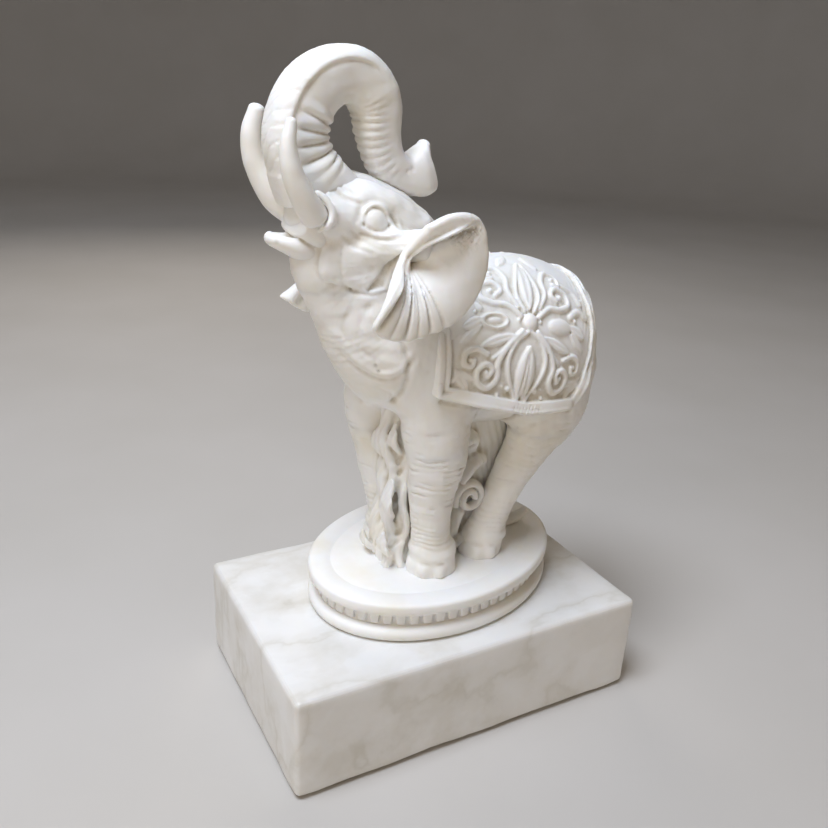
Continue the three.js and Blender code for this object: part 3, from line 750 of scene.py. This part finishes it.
# Each fold's route, width and depth, and how far from the middle it starts if that isn't 4 mm.
FOLDS = [
    # under the eye and behind it
    ([(-31.5, 106.2), (-28, 105), (-23.5, 105.1), (-20.5, 106.5)], 0.7, 0.45),
    ([(-30.5, 104.6), (-26.5, 103.3), (-22, 103.6)], 0.55, 0.3),
    (LID, 0.38, 0.55),
    ([(x, z + 0.95) for x, z in LID], 0.5, -0.4),
    (BROW, 0.8, 0.35),
    ([(-31.2, 108.4), (-29.2, 107.2), (-26.6, 107), (-24.4, 108)], 0.36, 0.5),
    ([(-31.6, 107.4), (-29.2, 106), (-26.3, 105.8), (-23.4, 106.8)], 0.5, -0.35),
    ([(-34.5, 107), (-31.5, 104.4), (-28, 102.6), (-24, 102.2)], 0.45, 0.3),
    ([(-36.5, 106), (-33.6, 102.9), (-29.4, 101.4)], 0.4, 0.28),
    ([(-23.6, 110.6), (-21.8, 108.6), (-21.2, 106.2)], 0.4, 0.35),
    ([(-22, 111.6), (-20, 109.4), (-19.4, 106.8)], 0.4, 0.25),
    # the skin drawn up beside the trunk's root
    ([(-38.5, 120), (-37.4, 116.8), (-35, 114.6), (-31.6, 113.6)], 0.6, 0.45),
    ([(-36.5, 119.5), (-35.2, 117), (-32.4, 115.6)], 0.5, 0.35),
    # the shadow line that the saddle cloth's hem leaves
    ([(-9, 59.6), (2, 56.6), (16, 52.4), (27, 51.2), (37, 50.4)], 1.1, 0.8),
    # the cheek patch's front and lower border
    ([(-36.2, 102.5), (-36.8, 98), (-36, 94), (-33.5, 91.4), (-29, 90.2), (-25, 91)], 0.5, 0.3),
    # chest collar and the folds over the shoulder
    ([(-36.5, 79), (-33.4, 73.3), (-29, 69.6), (-24.8, 68.2), (-21, 69.8), (-18.7, 73.7)], 0.9, -0.42),
    ([(-35.5, 77), (-32.6, 71.4), (-28.6, 67.6), (-24.2, 66.2), (-20.2, 68), (-17.6, 72.6)], 0.8, 0.5),
    ([(-33.5, 86), (-34.6, 81), (-33.4, 77)], 0.7, 0.35),
    ([(-29.5, 87), (-31.4, 81), (-30.5, 75.5), (-27, 72)], 0.8, 0.3),
    ([(-21.5, 79), (-19.2, 73), (-18.6, 66), (-19.4, 58)], 0.9, 0.75, 8),
    ([(-25, 63.5), (-21.5, 61.5), (-19.5, 58.5)], 0.7, 0.35),
    # elbow, flank and groin
    ([(7.5, 60), (6.4, 53), (5.5, 46), (5.2, 40)], 0.9, 0.5),
    ([(20, 44), (24, 50), (29, 54)], 1.0, 0.5),
    ([(22.5, 41), (27, 46), (33, 49.5)], 0.8, 0.35),
]
TOOL_STROKES = [(0.6, 0), (2.6, 1.5), (0.2, 2.6), (1.6, 4.3), (3.4, 5.2), (0.4, 6.6), (2.2, 8.2)]
FOLDS += [  # strokes of the tool run back over the cheek towards the ear
    ([(-38.6 + front, 101.2 - drop), (-33, 100.8 - 0.85 * drop + 0.3 * (n % 2)), (-27.5, 100.9 - 0.6 * drop),
      (-22.5, 101.8 - 0.3 * drop)], 0.3 + 0.08 * (n % 3), 0.16 + 0.07 * (n % 2))
    for n, (front, drop) in enumerate(TOOL_STROKES)
]
FOLDS += [  # the bundle where the ear grows out of the cheek
    ([(-19.5 - 0.5 * k, 103.2 - 0.15 * k), (-22.4 - 0.6 * k, 100.2 - 0.3 * k),
      (-24.6 - 0.75 * k, 96 - 0.4 * k), (-26 - 0.9 * k, 92.4 - 0.2 * k)], 0.42, 0.55)
    for k in range(5)
]
# Eyeball, cheekbone, the hollow under the tusk's root and the temple: place, radius, height and stretch.
FACE_DABS = [((-27.9, 13.6, 109.6), 2.2, 1.7, (1.05, 1, 0.95)), ((-27.5, 15, 101.8), 5, 0.8, (1.4, 1, 0.7)),
             ((-33.5, 12, 105), 3.2, -0.9, (1, 1, 0.9)), ((-21, 13.5, 108), 3.2, -0.8, (1, 1, 0.8))]
# The groove that runs back over each side of the crown, and the cleft between its domes, seen from above.
CROWN_GROOVE = [(-37, 2.8), (-30, 5.2), (-23, 7.0), (-16, 7.8), (-10, 8)]
GROOVE_DEPTH, CLEFT_DEPTH = 1.35, 0.8


def nail_mounds(name):
    """The nails of one foot, each with the dip above it."""
    stations = LEGS[name]
    x, y = stations[-2][0], stations[-2][1]
    radius = stations[-2][3] + 0.15
    mounds = []
    for degrees, size in NAILS:
        a = math.radians(degrees)
        spot = (x - radius * math.cos(a), y + radius * math.sin(a) * (-1 if y < 0 else 1))
        mounds.append(dab((*spot, NAIL_LEVEL), 1.5 * size, 1.7, (1, 1, 1.2)))
        mounds.append(dab((*spot, CUTICLE_LEVEL), 1.2 * size, -0.45, (1.3, 1.3, 0.5)))
    return mounds


marks = [fold(*row) for row in FOLDS]
marks += [mound for name in LEGS for mound in nail_mounds(name)]
marks += [dab((x, y * s, z), *sizes) for (x, y, z), *sizes in FACE_DABS for s in (-1, 1)]
marks += [dab(place, radius, -PIT_DEPTH) for place, radius in PIT_SPOTS]
crown_line, _ = smooth_route(CROWN_GROOVE, 0.5)


def skin(points):
    body = press_on(points, barrel(points), (6.0, [neck]), (5.0, legs))
    head = press_on(points, cranium(points), (4.0, [cheeks]), (2.2, domes), (4.0, ear_roots), (3.0, [throat]),
                    (0.9, cheek_plates), (2.6, sockets), (0.9, sheaths))
    value = pressed(body, head, 2.4)
    x, y, z = points.T
    value += CLEFT_DEPTH * (hump(y, -0.6, 1.3) * fade(z, 103, 108) * fade(x, -38, -33))
    crown = np.flatnonzero((z > 100) & (x > -40) & (x < -8) & (value < 4))
    plan = np.stack([x[crown], np.abs(y[crown])], 1)
    gap = np.linalg.norm(plan - crown_line[nearest_on(plan, crown_line)], axis=1)
    value[crown] += GROOVE_DEPTH * hump(gap, 0, 0.8) * fade(z[crown], 101, 105)
    for press in marks:
        value = press(points, value)
    value -= hide(points)
    return np.maximum(value, SOLE_CUT - z)


corners, faces = cast(skin, (-60, -32, -4), (62, 32, 128), SKIN_GRAIN)
ways_out = corner_ways(corners, faces)
# how sunk each corner lies, which the casting's finish darkens as grime and painted shade
sunk = hollows_of(corners, faces)
centre = corners[faces].mean(1)
below_belly = centre[:, 2] < BELLY_LEVEL
behind = centre[:, 0] > 7
in_head = centre[:, 2] > 91 + 0.15 * (centre[:, 0] + 30)
for name, share in (
    ("torso", ~below_belly & ~in_head),
    ("head", in_head),
    ("foreleg_left", below_belly & ~behind & (centre[:, 1] < 0)),
    ("foreleg_right", below_belly & ~behind & (centre[:, 1] >= 0)),
    ("hindleg_left", below_belly & behind & (centre[:, 1] < 0)),
    ("hindleg_right", below_belly & behind & (centre[:, 1] >= 0)),
):
    make_piece(f"cast_{name}", name, corners, faces[share], ways_out, sunk)

# ---------------- trunk
# A flattened tube raised in an arch over the head, thick rolls inside the rise, fine rings down the fall,
# and a flared tip with one finger and two nostrils.
TRUNK = [(-36, 0, 114, 9, 9), (-42.2, 0, 121, 8.8, 8.4), (-44.3, 0, 129.5, 8.4, 7.8),
         (-41.4, 0, 137.6, 8, 7.5), (-36.2, 0, 142.4, 7.6, 7.2), (-30.3, 0, 143.7, 7.2, 7),
         (-25.2, 0, 141.4, 6.8, 6.8), (-22.1, 0, 136.6, 6.4, 6.3), (-21.3, 0, 130.5, 5.8, 5.8),
         (-20, 0, 125.2, 5.4, 5.3), (-17.4, 0, 121.2, 5.2, 5.1), (-13, 0, 118.9, 5, 4.9),
         (-8.4, 0, 119.2, 5.6, 6), (-6.2, 0, 119.8, 5, 5.6)]
ROLL_SPACING, RING_SPACING, SLANT_SPACING = 3.8, 1.9, 2.7
FINE_GRAIN = 0.42


def trunk_skin(run, across, deep, points):
    inner = fade(deep, -0.5, 0.05)
    roll = np.abs(np.sin(math.pi * (run - 4.2) / ROLL_SPACING)) ** 0.6
    out = 1.05 * (roll - 0.65) * inner * fade(run, 3, 6) * (1 - fade(run, 24, 28))
    ring = np.abs(np.sin(math.pi * (run + 0.4 * across) / RING_SPACING)) ** 0.7
    out += 0.5 * (ring - 0.62) * fade(deep, -0.25, 0.45) * fade(run, 46, 53) * (1 - fade(run, 66, 72))
    # the broad outer face ends in a crisp edge, below which the side is sunk
    sunk_side = 0.75 * fade(np.abs(across), 0.5, 0.75) * fade(deep, -0.6, -0.42)
    out -= sunk_side * fade(run, 6, 14) * (1 - fade(run, 38, 50))
    turns = 2 * math.pi * (run + 4 * across) / SLANT_SPACING
    slanted = np.clip(np.sin(turns + waver(points, 9, 3)), 0, 1) ** 5
    out -= 0.16 * slanted * (1 - fade(deep, -0.8, -0.3)) * fade(run, 4, 9) * (1 - fade(run, 26, 36))
    return out + 0.5 * hide(points)


tube = limb(TRUNK, (4, 1.5), squareness=2.9, relief=trunk_skin)
finger = limb([(-10.5, 0, 122.6, 4.2, 2.6), (-8.2, 0, 125, 3.6, 2.2), (-7.3, 0, 126.8, 2.6, 1.5)], (1.5, 1.4))
nostril_cup = limb([(-2.5, 0, 121.6, 3.2, 2.8), (-6.2, 0, 120.4, 1.8, 1.6)], (1.5, 1.5))
collar = limb([(-40.5, 0, 115.6, 9.7, 8.8), (-41.8, 0, 118.4, 9.5, 8.5), (-42.6, 0, 121, 9, 8.2)], (1.6, 1.6),
              squareness=2.7)
trunk_dabs = [dab((-13, -5, 121), 0.55, -0.5), dab((-14.4, -5, 120.4), 0.45, -0.45),
              dab((-12, 0, 125.4), 2.4, -0.5)]


def trunk_form(points):
    value = press_on(points, tube(points), (1.2, [collar]), (2.0, [finger]))
    value = cut_away(value, nostril_cup(points), 1.2)
    for press in trunk_dabs:
        value = press(points, value)
    return value


cast_piece("cast_trunk", "trunk", trunk_form, (-58, -14, 102), (2, 14, 156), FINE_GRAIN)

# ---------------- mouth and tusks
# The lower lip is a pointed spoon below the palate. Each tusk is a plain tapered horn in its sheath, cast
# with the head in the same bonded marble.
LIP = [(-36, 0, 99.4, 7, 5.6), (-41.5, 0, 100.6, 6.6, 4.2), (-46.5, 0, 102.1, 5.5, 2.9),
       (-50.3, 0, 103.2, 3.6, 2.1)]
PALATE = [(-36, 0, 103.6, 9, 4.8), (-40.5, 0, 105.6, 9.4, 4.3), (-44.4, 0, 107, 8.6, 3)]
TUSKS = {
    "left": [(-43.4, -10.8, 110.6, 3.6), (-47, -11.9, 115.6, 3.2), (-49.7, -12.3, 121, 2.7),
             (-50.7, -12.1, 127, 2.1), (-49.7, -11.5, 132.6, 1.4)],
    "right": [(-41, 10.4, 108.6, 4.1), (-45.5, 12, 112.2, 3.9), (-50, 13.2, 120.4, 3.4),
              (-51.2, 13.2, 127.9, 2.9), (-50, 12.6, 134.3, 2.1)],
}

lip_body = limb(LIP, (3, 2.4))
palate = limb(PALATE, (2, 1.4), squareness=3)
spoon = limb([(-50.6, 0, 106, 2.1, 1.9), (-46, 0, 105, 3.7, 2.2), (-39, 0, 104.6, 4.4, 2.2)], (1.4, 2))


def lip_form(points):
    value = pressed(cut_away(lip_body(points), spoon(points), 0.7), palate(points), 0.6)
    return value - 0.5 * hide(points)


cast_piece("cast_lower_lip", "lower_jaw", lip_form, (-58, -13, 85), (-26, 13, 116), FINE_GRAIN)

for name, stations in TUSKS.items():
    horn = limb(stations, (2.6, 1.3), relief=lambda run, across, deep, points: 0.3 * hide(points))
    y_low, y_high = (4, 21) if name == "right" else (-21, -4)
    cast_piece(f"cast_tusk_{name}", f"tusk_{name}", horn, (-60, y_low, 98), (-30, y_high, 142), FINE_GRAIN)

# ---------------- ears
# Each ear is a thin sheet spread from its root, the upper lobe rolled over a funnel, the lower half drawn
# into folds that fan out to a wavy rim.
EAR_RIM = [(-20, 110), (-15, 113), (-8.8, 113.2), (-4.4, 110.4), (-2.4, 103.6), (-2.6, 96), (-6, 89),
           (-11, 84.6), (-17.6, 82.2), (-24.6, 81), (-30, 81.9), (-34.4, 84.4), (-34, 88.5), (-30.5, 94),
           (-24, 101)]
EAR_ROOT = (-21.5, 101)
EAR_THICK = 2.6
RIGHT_EAR_RIM = [*EAR_RIM[:8], (-17.6, 81.6), (-23, 80), (-27.2, 79.1), (-30.8, 78.4), (-37.6, 82.8),
                 (-38.5, 83.6), (-37.7, 84.5), (-33, 88.2), (-29.5, 94), (-24, 101)]
LIP_LINE = [(-20.6, 101.4), (-19, 104.6), (-15.8, 107), (-11.6, 109), (-7, 110.4), (-3.6, 111)]
EAR_FOLDS = [(-127, 1.1, 4.4), (-103, 0.9, 3.4), (-80, 0.85, 3.2), (-67, 0.6, 3.6), (-92, 0.3, 2.4),
             (-115, 0.35, 2.6)]  # degrees round the root, depth and width


def edge_of(outline):
    """The distance of (x, z) points from a closed outline, negative inside it."""
    def distance(flat):
        gap = np.full(len(flat), 1e9)
        inside = np.zeros(len(flat), bool)
        for p, q in zip(outline, outline[1:]):
            way = q - p
            t = np.clip(((flat - p) @ way) / (way @ way + 1e-12), 0, 1)
            gap = np.minimum(gap, ((flat - p - t[:, None] * way) ** 2).sum(1))
            crosses = (p[1] > flat[:, 1]) != (q[1] > flat[:, 1])
            inside ^= crosses & (flat[:, 0] < way[0] * (flat[:, 1] - p[1]) / (way[1] + 1e-12) + p[0])
        gap = np.sqrt(gap)
        return np.where(inside, -gap, gap)
    return distance


def ear_form(side, droop, outline):
    """One ear: the side it is on, how far it hangs below the left one, and its outline."""
    rim = edge_of(smooth_route([*outline, outline[0]], 0.6)[0])
    lip, _ = smooth_route(LIP_LINE, 0.6)
    lip_way = np.gradient(lip, axis=0)
    lip_way /= np.linalg.norm(lip_way, axis=1)[:, None]

    def stand(x, z):
        dx, dz = x - EAR_ROOT[0], z - EAR_ROOT[1]
        reach = np.hypot(dx, dz)
        angle = np.degrees(np.arctan2(dz, dx))
        out = 17.5 + 10.5 * np.sin(np.minimum(1, reach / 17) * math.pi / 2)
        for fold_angle, depth, width in EAR_FOLDS:
            shape = hump(angle, fold_angle, width)
            out = out - depth * shape * fade(reach, 2.5, 9)
        out = out + 1.0 * hump(angle, -138, 9) * fade(reach, 3, 9)
        # the upper lobe hangs over a hollow that deepens towards the root
        flat = np.stack([x, z], 1)
        pick = nearest_on(flat, lip)
        off = flat - lip[pick]
        above = lip_way[pick, 0] * off[:, 1] - lip_way[pick, 1] * off[:, 0]
        along = pick / (len(lip) - 1)
        past_end = np.abs((off * lip_way[pick]).sum(1))
        strength = (1 - fade(along, 0.45, 1.0)) * hump(past_end, 0, 3.5)
        out = out + 1.5 * strength * fade(above, -1.4, 1.4) * np.exp(-((np.clip(above, 0, None) / 13) ** 2))
        out = out - 3.6 * strength * (1 - fade(above, -1.4, 1.4)) * hump(above, 0, 5.2)
        return out

    def form(points):
        x, z = points[:, 0], points[:, 2] + droop
        y = points[:, 1] * side
        value = np.full(len(points), FAR)
        near = within(np.stack([x, y, z], 1), (-44, 8, 72), (6, 40, 122))
        x, y, z = x[near], y[near], z[near]
        h = 0.2
        middle = stand(x, z)
        tilt = np.hypot((stand(x + h, z) - middle) / h, (stand(x, z + h) - middle) / h)
        reach = np.hypot(x - EAR_ROOT[0], z - EAR_ROOT[1])
        thick = EAR_THICK * (1.25 - 0.45 * fade(reach, 6, 20))
        sheet = np.abs(y - middle) / np.sqrt(1 + tilt**2) - thick / 2
        value[near] = -pressed(-sheet, -rim(np.stack([x, z], 1)), 1.6)
        return value - 0.4 * hide(points)

    return form


for name, side, droop, outline in (("left", -1, 0.0, EAR_RIM), ("right", 1, 3.6, RIGHT_EAR_RIM)):
    y_low, y_high = sorted((11 * side, 36 * side))
    cast_piece(f"cast_ear_{name}", f"ear_{name}", ear_form(side, droop, outline), (-40, y_low, 72),
               (4, y_high, 120), FINE_GRAIN)

# ---------------- tail
# The tail hangs to the right of the rump in one curve and ends in a tuft with combed strands. It is cast
# against the thigh, in the same bonded marble.
TAIL = [(52, 2, 80, 3), (56.5, 4.5, 71, 2.7), (57, 8, 60, 2.4), (55.6, 11.5, 48, 2.3), (53, 13.5, 39, 2.8),
        (50, 14, 31, 2.2)]


def tail_strands(run, across, deep, points):
    strands = np.sin(6 * np.arctan2(deep, across) + run * 0.22)
    rings = np.abs(np.sin(math.pi * run / 2.1))
    return 0.28 * strands * fade(run, 32, 40) + 0.14 * rings * (1 - fade(run, 28, 34))


tail = limb(TAIL, (3, 3), relief=tail_strands)
cast_piece("cast_tail", "tail", tail, (42, -4, 22), (61, 20, 88), FINE_GRAIN)

# ---------------- saddle cloth
# A ceremonial cloth laid over the back, cast with the figure: a plain hem that comes to a point, a double
# line down its front, and raised scrollwork round a knob, the same on both sides.
CLOTH_THICK, CLOTH_GAP, CLOTH_SINK = 1.8, 0.3, 0.35
CLOTH_GRAIN = 0.45
BACK_WIDE, BACK_TALL, BACK_LEVEL = 23.6, 29.6, 64.8  # the oval that the cloth is wrapped round
CLOTH_FALL, CLOTH_FLARE = 4.0, 1.6
HEM = [(-12, 62), (16, 54), (37, 52)]
REAR_EDGE = [(41.5, 59), (45, 67), (47, 78), (46, 110)]
FRONT_EDGE = [(-9, 110), (-10.5, 80)]
KNOB = (18.2, 26.6)  # along the back, and down the side from the spine
KNOB_RADIUS, KNOB_HEIGHT = 2.5, 1.5
EYELET, EYELET_SIZE = (11.2, -0.2), (4.4, 2.3)  # the ringed eye before the knob, and the petal behind it
LEAN = math.radians(10)
# Raised strokes as (route, half width, height), in mm from the knob: outwards and up.
STROKES = [
    ([(0.6, -2.6), (4.2, -5.4), (6.4, -10), (5.6, -15), (2.6, -20), (1.2, -22)], 0.85, 0.85),
    ([(2.6, -2.6), (7, -6.8), (9.6, -11.5), (9.2, -16), (11.8, -18.8), (15, -17.6), (15.7, -14.2),
      (13.2, -12.2), (11.2, -13.6), (12.2, -15.6)], 1.05, 1.0),
    ([(5.6, -4.9), (9, -8.6), (11.4, -10.6)], 0.7, 0.6),
    ([(13.2, -9.4), (16.6, -8.2), (19.6, -9.6), (19.8, -12.6), (17.6, -13.2), (17, -11.4)], 0.95, 0.85),
    ([(3, 1.6), (7, 4.4), (11.4, 4.9), (15, 7), (14.2, 10.6), (10.4, 11.2), (8.4, 8.8), (10.2, 7.2)],
     1.0, 0.9),
    ([(3.6, 4), (6.2, 8.6), (6, 13), (8.4, 16.8), (12, 16), (12.4, 12.8), (10.2, 12.8)], 0.85, 0.75),
    ([(1.6, 3), (3.7, 7.5), (2.6, 13), (0.4, 18.6)], 0.75, 0.9),
    ([(15.5, 3.4), (19, 5.6), (22, 4.2)], 1.3, 0.7),
    ([(14, 13.6), (18, 12.4), (20.4, 8.6)], 1.1, 0.6),
    ([(17, -16.6), (20.4, -15.6), (22.4, -17.8)], 1.1, 0.6),
]
# Filled leaves as (root, tip, half width, height), with a sunk midrib.
LEAVES = [
    ((0.2, -6.2), (1.0, -21.4), 2.7, 1.15),
    ((0.2, 3.2), (0.4, 17.4), 1.9, 0.95),
    ((4.8, -3.6), (15.6, -7.4), 1.5, 0.85),
    ((14.6, 0.6), (21.6, -2.6), 1.9, 0.75),
    ((15.2, -1.6), (21.4, -6.8), 1.3, 0.6),
    ((17.2, -20.6), (22.6, -14.2), 1.7, 0.5),
    ((6.4, 17.8), (2.6, 23.4), 1.4, 0.6),
]
BEADS = [(4.8, -18.6, 0.85), (7.9, -20.4, 0.6), (12.9, -14.6, 0.8), (18.1, -11.4, 0.7), (3.6, 0.4, 0.6),
         (11.6, 8.6, 0.9), (6.9, -18.0, 0.5), (17.2, 2.4, 0.7), (20.6, 9.8, 0.7), (10.4, 14.8, 0.7)]


def scrollwork(p, q):
    """The height of the raised work at each place of the cloth."""
    flat = np.stack([np.abs(p), q], 1)
    height = np.zeros(len(flat))

    def raise_to(got):
        np.maximum(height, got, out=height)

    for route, width, tall in STROKES:
        line, _ = smooth_route(route, 0.5)
        near = within(flat, line.min(0) - 2, line.max(0) + 2)
        pick = nearest_on(flat[near], line)
        gap = np.linalg.norm(flat[near] - line[pick], axis=1)
        slim = 1 - 0.35 * np.abs(pick / (len(line) - 1) - 0.45)
        got = np.zeros(len(flat))
        got[near] = tall * np.sqrt(np.clip(1 - (gap / (width * slim)) ** 2, 0, 1))
        raise_to(got)
    for root, tip, width, tall in LEAVES:
        root, tip = np.array(root), np.array(tip)
        run = np.linalg.norm(tip - root)
        way = (tip - root) / run
        t = ((flat - root) @ way) / run
        off = (flat - root) @ np.array([-way[1], way[0]])
        wide = width * np.sin(math.pi * np.clip(t, 0, 1)) ** 0.75 + 1e-3
        body = np.sqrt(np.clip(1 - (off / wide) ** 2, 0, 1)) * ((t > 0) & (t < 1))
        rib = 0.35 * hump(off, 0, 0.32) * fade(t, 0.05, 0.2)
        raise_to(tall * body * (1 - rib))
    for x, y, radius in BEADS:
        gap = np.hypot(flat[:, 0] - x, flat[:, 1] - y)
        raise_to(1.1 * np.sqrt(np.clip(radius**2 - gap**2, 0, None)))
    gap = np.hypot(p, q)
    raise_to(KNOB_HEIGHT * np.sqrt(np.clip(1 - (gap / KNOB_RADIUS) ** 2, 0, 1)))
    gap = np.hypot((flat[:, 0] - EYELET[0]) / EYELET_SIZE[0], (flat[:, 1] - EYELET[1]) / EYELET_SIZE[1])
    ringed = hump(gap, 0.86, 0.16) * 0.8 + 0.7 * np.clip(1 - (gap / 0.5) ** 2, 0, 1)
    petal = np.sqrt(np.clip(1 - np.minimum(gap / 1.05, 1) ** 2, 0, 1))
    raise_to(np.where(p < 0, ringed * (gap < 1.25), petal))
    return height


cover = limb([(x, y, z - CLOTH_FALL, wide + CLOTH_FLARE, deep + CLOTH_FALL)
              for x, y, z, wide, deep in BARREL], BARREL_ENDS)
cloth_edge = edge_of(np.array([*HEM, *REAR_EDGE, *FRONT_EDGE, HEM[0]], float))


def cloth_form(points):
    value = np.full(len(points), FAR)
    near = np.flatnonzero((points[:, 0] > -20) & (points[:, 2] > 44))
    here = points[near]
    rise = cover(here)
    x, y, z = here.T
    sides = np.arctan2(np.abs(y) / BACK_WIDE, (z - BACK_LEVEL) / BACK_TALL)
    down = 26.6 * sides - 1.5 * np.sin(2 * sides)
    inner = -cloth_edge(np.stack([x, z], 1))
    close = rise < 5
    height = np.zeros(len(here))
    p, q = x[close] - KNOB[0], KNOB[1] - down[close]
    cos, sin = math.cos(LEAN), math.sin(LEAN)
    height[close] = scrollwork(p * cos - q * sin, p * sin + q * cos)
    spine = 0.5 * np.exp(-(down**2))
    ground = fade(inner, 3.5, 3.9)
    band = 0.75 * (1 - ground)
    band = band - 0.45 * hump(inner, 2.1, 0.33) * (z > 63)
    band = band + 0.35 * (1 - fade(inner, 0.9, 1.5)) * (z < 66)
    stitch = np.clip(np.sin(2 * math.pi * (x - 0.6 * z) / 1.25), 0, 1) ** 2
    band = band - 0.35 * stitch * (inner < 3) * (z < 62) * (1 - fade(np.abs(x - 16.5), 4.5, 6))
    relief = band + ground * np.maximum(height, spine) - 0.3 * ground
    flare = 2.0 * (1 - fade(inner, 0.5, 6)) * (1 - fade(z, 58, 66))
    surface = rise - CLOTH_THICK - CLOTH_GAP - relief + CLOTH_SINK - flare
    shell = np.maximum(surface, -(rise + 0.5))
    value[near] = -pressed(-shell, inner, 0.6)
    return value - 0.3 * hide(points)


cast_piece("cast_saddle_cloth", "saddle_cloth", cloth_form, (-17, -32, 46), (58, 32, 102), CLOTH_GRAIN)

# ---------------- foliage
# Leaves and stalks fill the gaps between the legs, so that the casting holds together: twisting stalks
# between the forelegs, and a bank of leaves with one rolled scroll behind them.
STALKS = [
    ([(-16, -3, 52), (-17.5, -2, 42), (-14.5, -4.5, 31), (-17, -4, 20), (-14.5, -5, 9), (-17, -5.5, -3)],
     2.0),
    ([(-12, 2, 52), (-13, 1, 40), (-16, 0, 28), (-13, 0.5, 16), (-15.5, -1, 6), (-14.5, 0, -3)], 2.6),
    ([(-10, -3, 50), (-10.5, -5, 36), (-12.5, -7, 24), (-10.5, -6, 13), (-13, -7, 5), (-12, -7.5, -3)], 1.9),
    ([(-12, 4, 48), (-15.5, 4.5, 34), (-14, 3.5, 22), (-16.5, 3.5, 11), (-15, 3.5, -3)], 2.2),
]
LEAF_BLADES = [
    [(-15, -5, 17, 1.2, 0.8), (-18, -7, 22.5, 3.2, 1.0), (-16.5, -7.5, 30, 1.0, 0.6)],
    [(-14, -4, 3, 1.4, 1.0), (-18.2, -6.5, 7, 3.4, 1.1), (-19, -8, 12.5, 0.9, 0.6)],
    [(-14, 2, 34, 1.2, 0.8), (-18, 1, 39, 3.0, 1.0), (-18.5, -1, 45, 0.8, 0.6)],
    [(-13, -4.5, 38, 1.2, 0.8), (-16.5, -6.5, 43, 2.6, 1.0), (-16, -7, 48, 0.8, 0.6)],
    [(-15, 3, 1, 1.4, 1.0), (-19, 4, 3.5, 3.0, 1.1), (-20.5, 4, 8, 0.9, 0.6)],
]
REAR_LEAVES = [
    [(8, -2, 4, 3, 3), (7.5, -5.5, 9, 2.6, 2.2), (8.5, -7.5, 15, 2.0, 1.4)],
    [(17, -2, 30, 3.5, 3), (14.5, -6, 32, 3.4, 2.4), (11, -8, 30, 2.4, 1.6), (8.5, -8.2, 26, 1.6, 1.2)],
    [(9, -5, 2, 2.6, 2), (12, -7.5, 6, 3, 1.6), (13.6, -8, 11, 1.2, 0.9)],
    [(12, -3, 36, 4, 3), (10, -7, 40, 3.6, 2.4), (7, -8, 38, 1.6, 1.2)],
    [(20, 2, 8, 3, 3), (23, 6, 14, 3.2, 1.6), (24, 9, 21, 1.4, 0.9)],
    [(18, 4, 20, 3, 3), (21, 8, 27, 3.2, 1.6), (20, 9.5, 34, 1.4, 0.9)],
    [(8, 4, 6, 3, 3), (5, 8, 12, 3.2, 1.6), (4, 10, 19, 1.4, 0.9)],
]
SCROLL_CENTRE, SCROLL_RADIUS, SCROLL_TURNS, SCROLL_STEPS = (11.6, 19.4), 5.6, 1.55, 22
FOLIAGE_GRAIN = 0.45

core_front = limb([(-12, -0.5, 52, 5, 5), (-10.5, -0.5, 36, 5, 5), (-10, -0.5, 20, 5, 5),
                   (-10.5, -0.5, 6, 6, 5.5), (-11, -0.5, -3, 6.5, 6)], (5, 1))
stalks = [limb([(*spot, width * (0.75 + 0.4 * (k % 2)), width * 0.7) for k, spot in enumerate(route)], (2, 1))
          for route, width in STALKS]
leaf_blades = [limb(stations, (1, 1)) for stations in LEAF_BLADES]


def front_foliage(points):
    value = press_on(points, core_front(points), (1.6, stalks), (0.9, leaf_blades))
    value -= 0.18 * np.sin(2 * math.pi * (points[:, 1] + 0.25 * points[:, 2]) / 2.3 + waver(points, 8, 9))
    return np.maximum(value, SOLE_CUT - points[:, 2])


cast_piece("cast_foliage_front", "foliage_front", front_foliage, (-24, -12, -4), (-1, 10, 60), FOLIAGE_GRAIN)

scroll_route = []
for k in range(SCROLL_STEPS):
    share = k / (SCROLL_STEPS - 1)
    a = math.radians(200) - SCROLL_TURNS * 2 * math.pi * share
    radius = SCROLL_RADIUS * (1 - 0.72 * share)
    scroll_route.append((SCROLL_CENTRE[0] + radius * math.cos(a), -7.2 - 1.2 * share,
                         SCROLL_CENTRE[1] + radius * math.sin(a), 2.3 - 0.6 * share, 1.25 - 0.25 * share))
core_rear = limb([(16, 0.5, 50, 9, 11), (18, 0.5, 38, 7.5, 11), (15.5, 0.5, 26, 6.5, 9), (14, 1, 12, 6, 8),
                  (13, 1, -3, 7, 9)], (4, 1))
fallen_leaf = limb([(22, 2, 0, 3, 1.6), (32, 2.2, 0.6, 3, 1.3), (38.5, 1.4, 1.8, 2.4, 1.5),
                    (41.2, 1, 3.6, 1.7, 1.5)], (1, 1.2))
rear_leaves = [limb(stations, (1, 1)) for stations in REAR_LEAVES]
scroll = limb(scroll_route, (1, 1), squareness=2.4)


def rear_foliage(points):
    value = press_on(points, core_rear(points), (1.4, rear_leaves))
    value -= 0.1 * np.sin(2 * math.pi * (points[:, 0] + 0.3 * points[:, 2]) / 2.6 + waver(points, 8, 12))
    value = press_on(points, value, (0.6, [scroll]), (1.0, [fallen_leaf]))
    return np.maximum(value, SOLE_CUT - points[:, 2])


cast_piece("cast_foliage_rear", "foliage_rear", rear_foliage, (-2, -13, -4), (46, 14, 62), FOLIAGE_GRAIN)
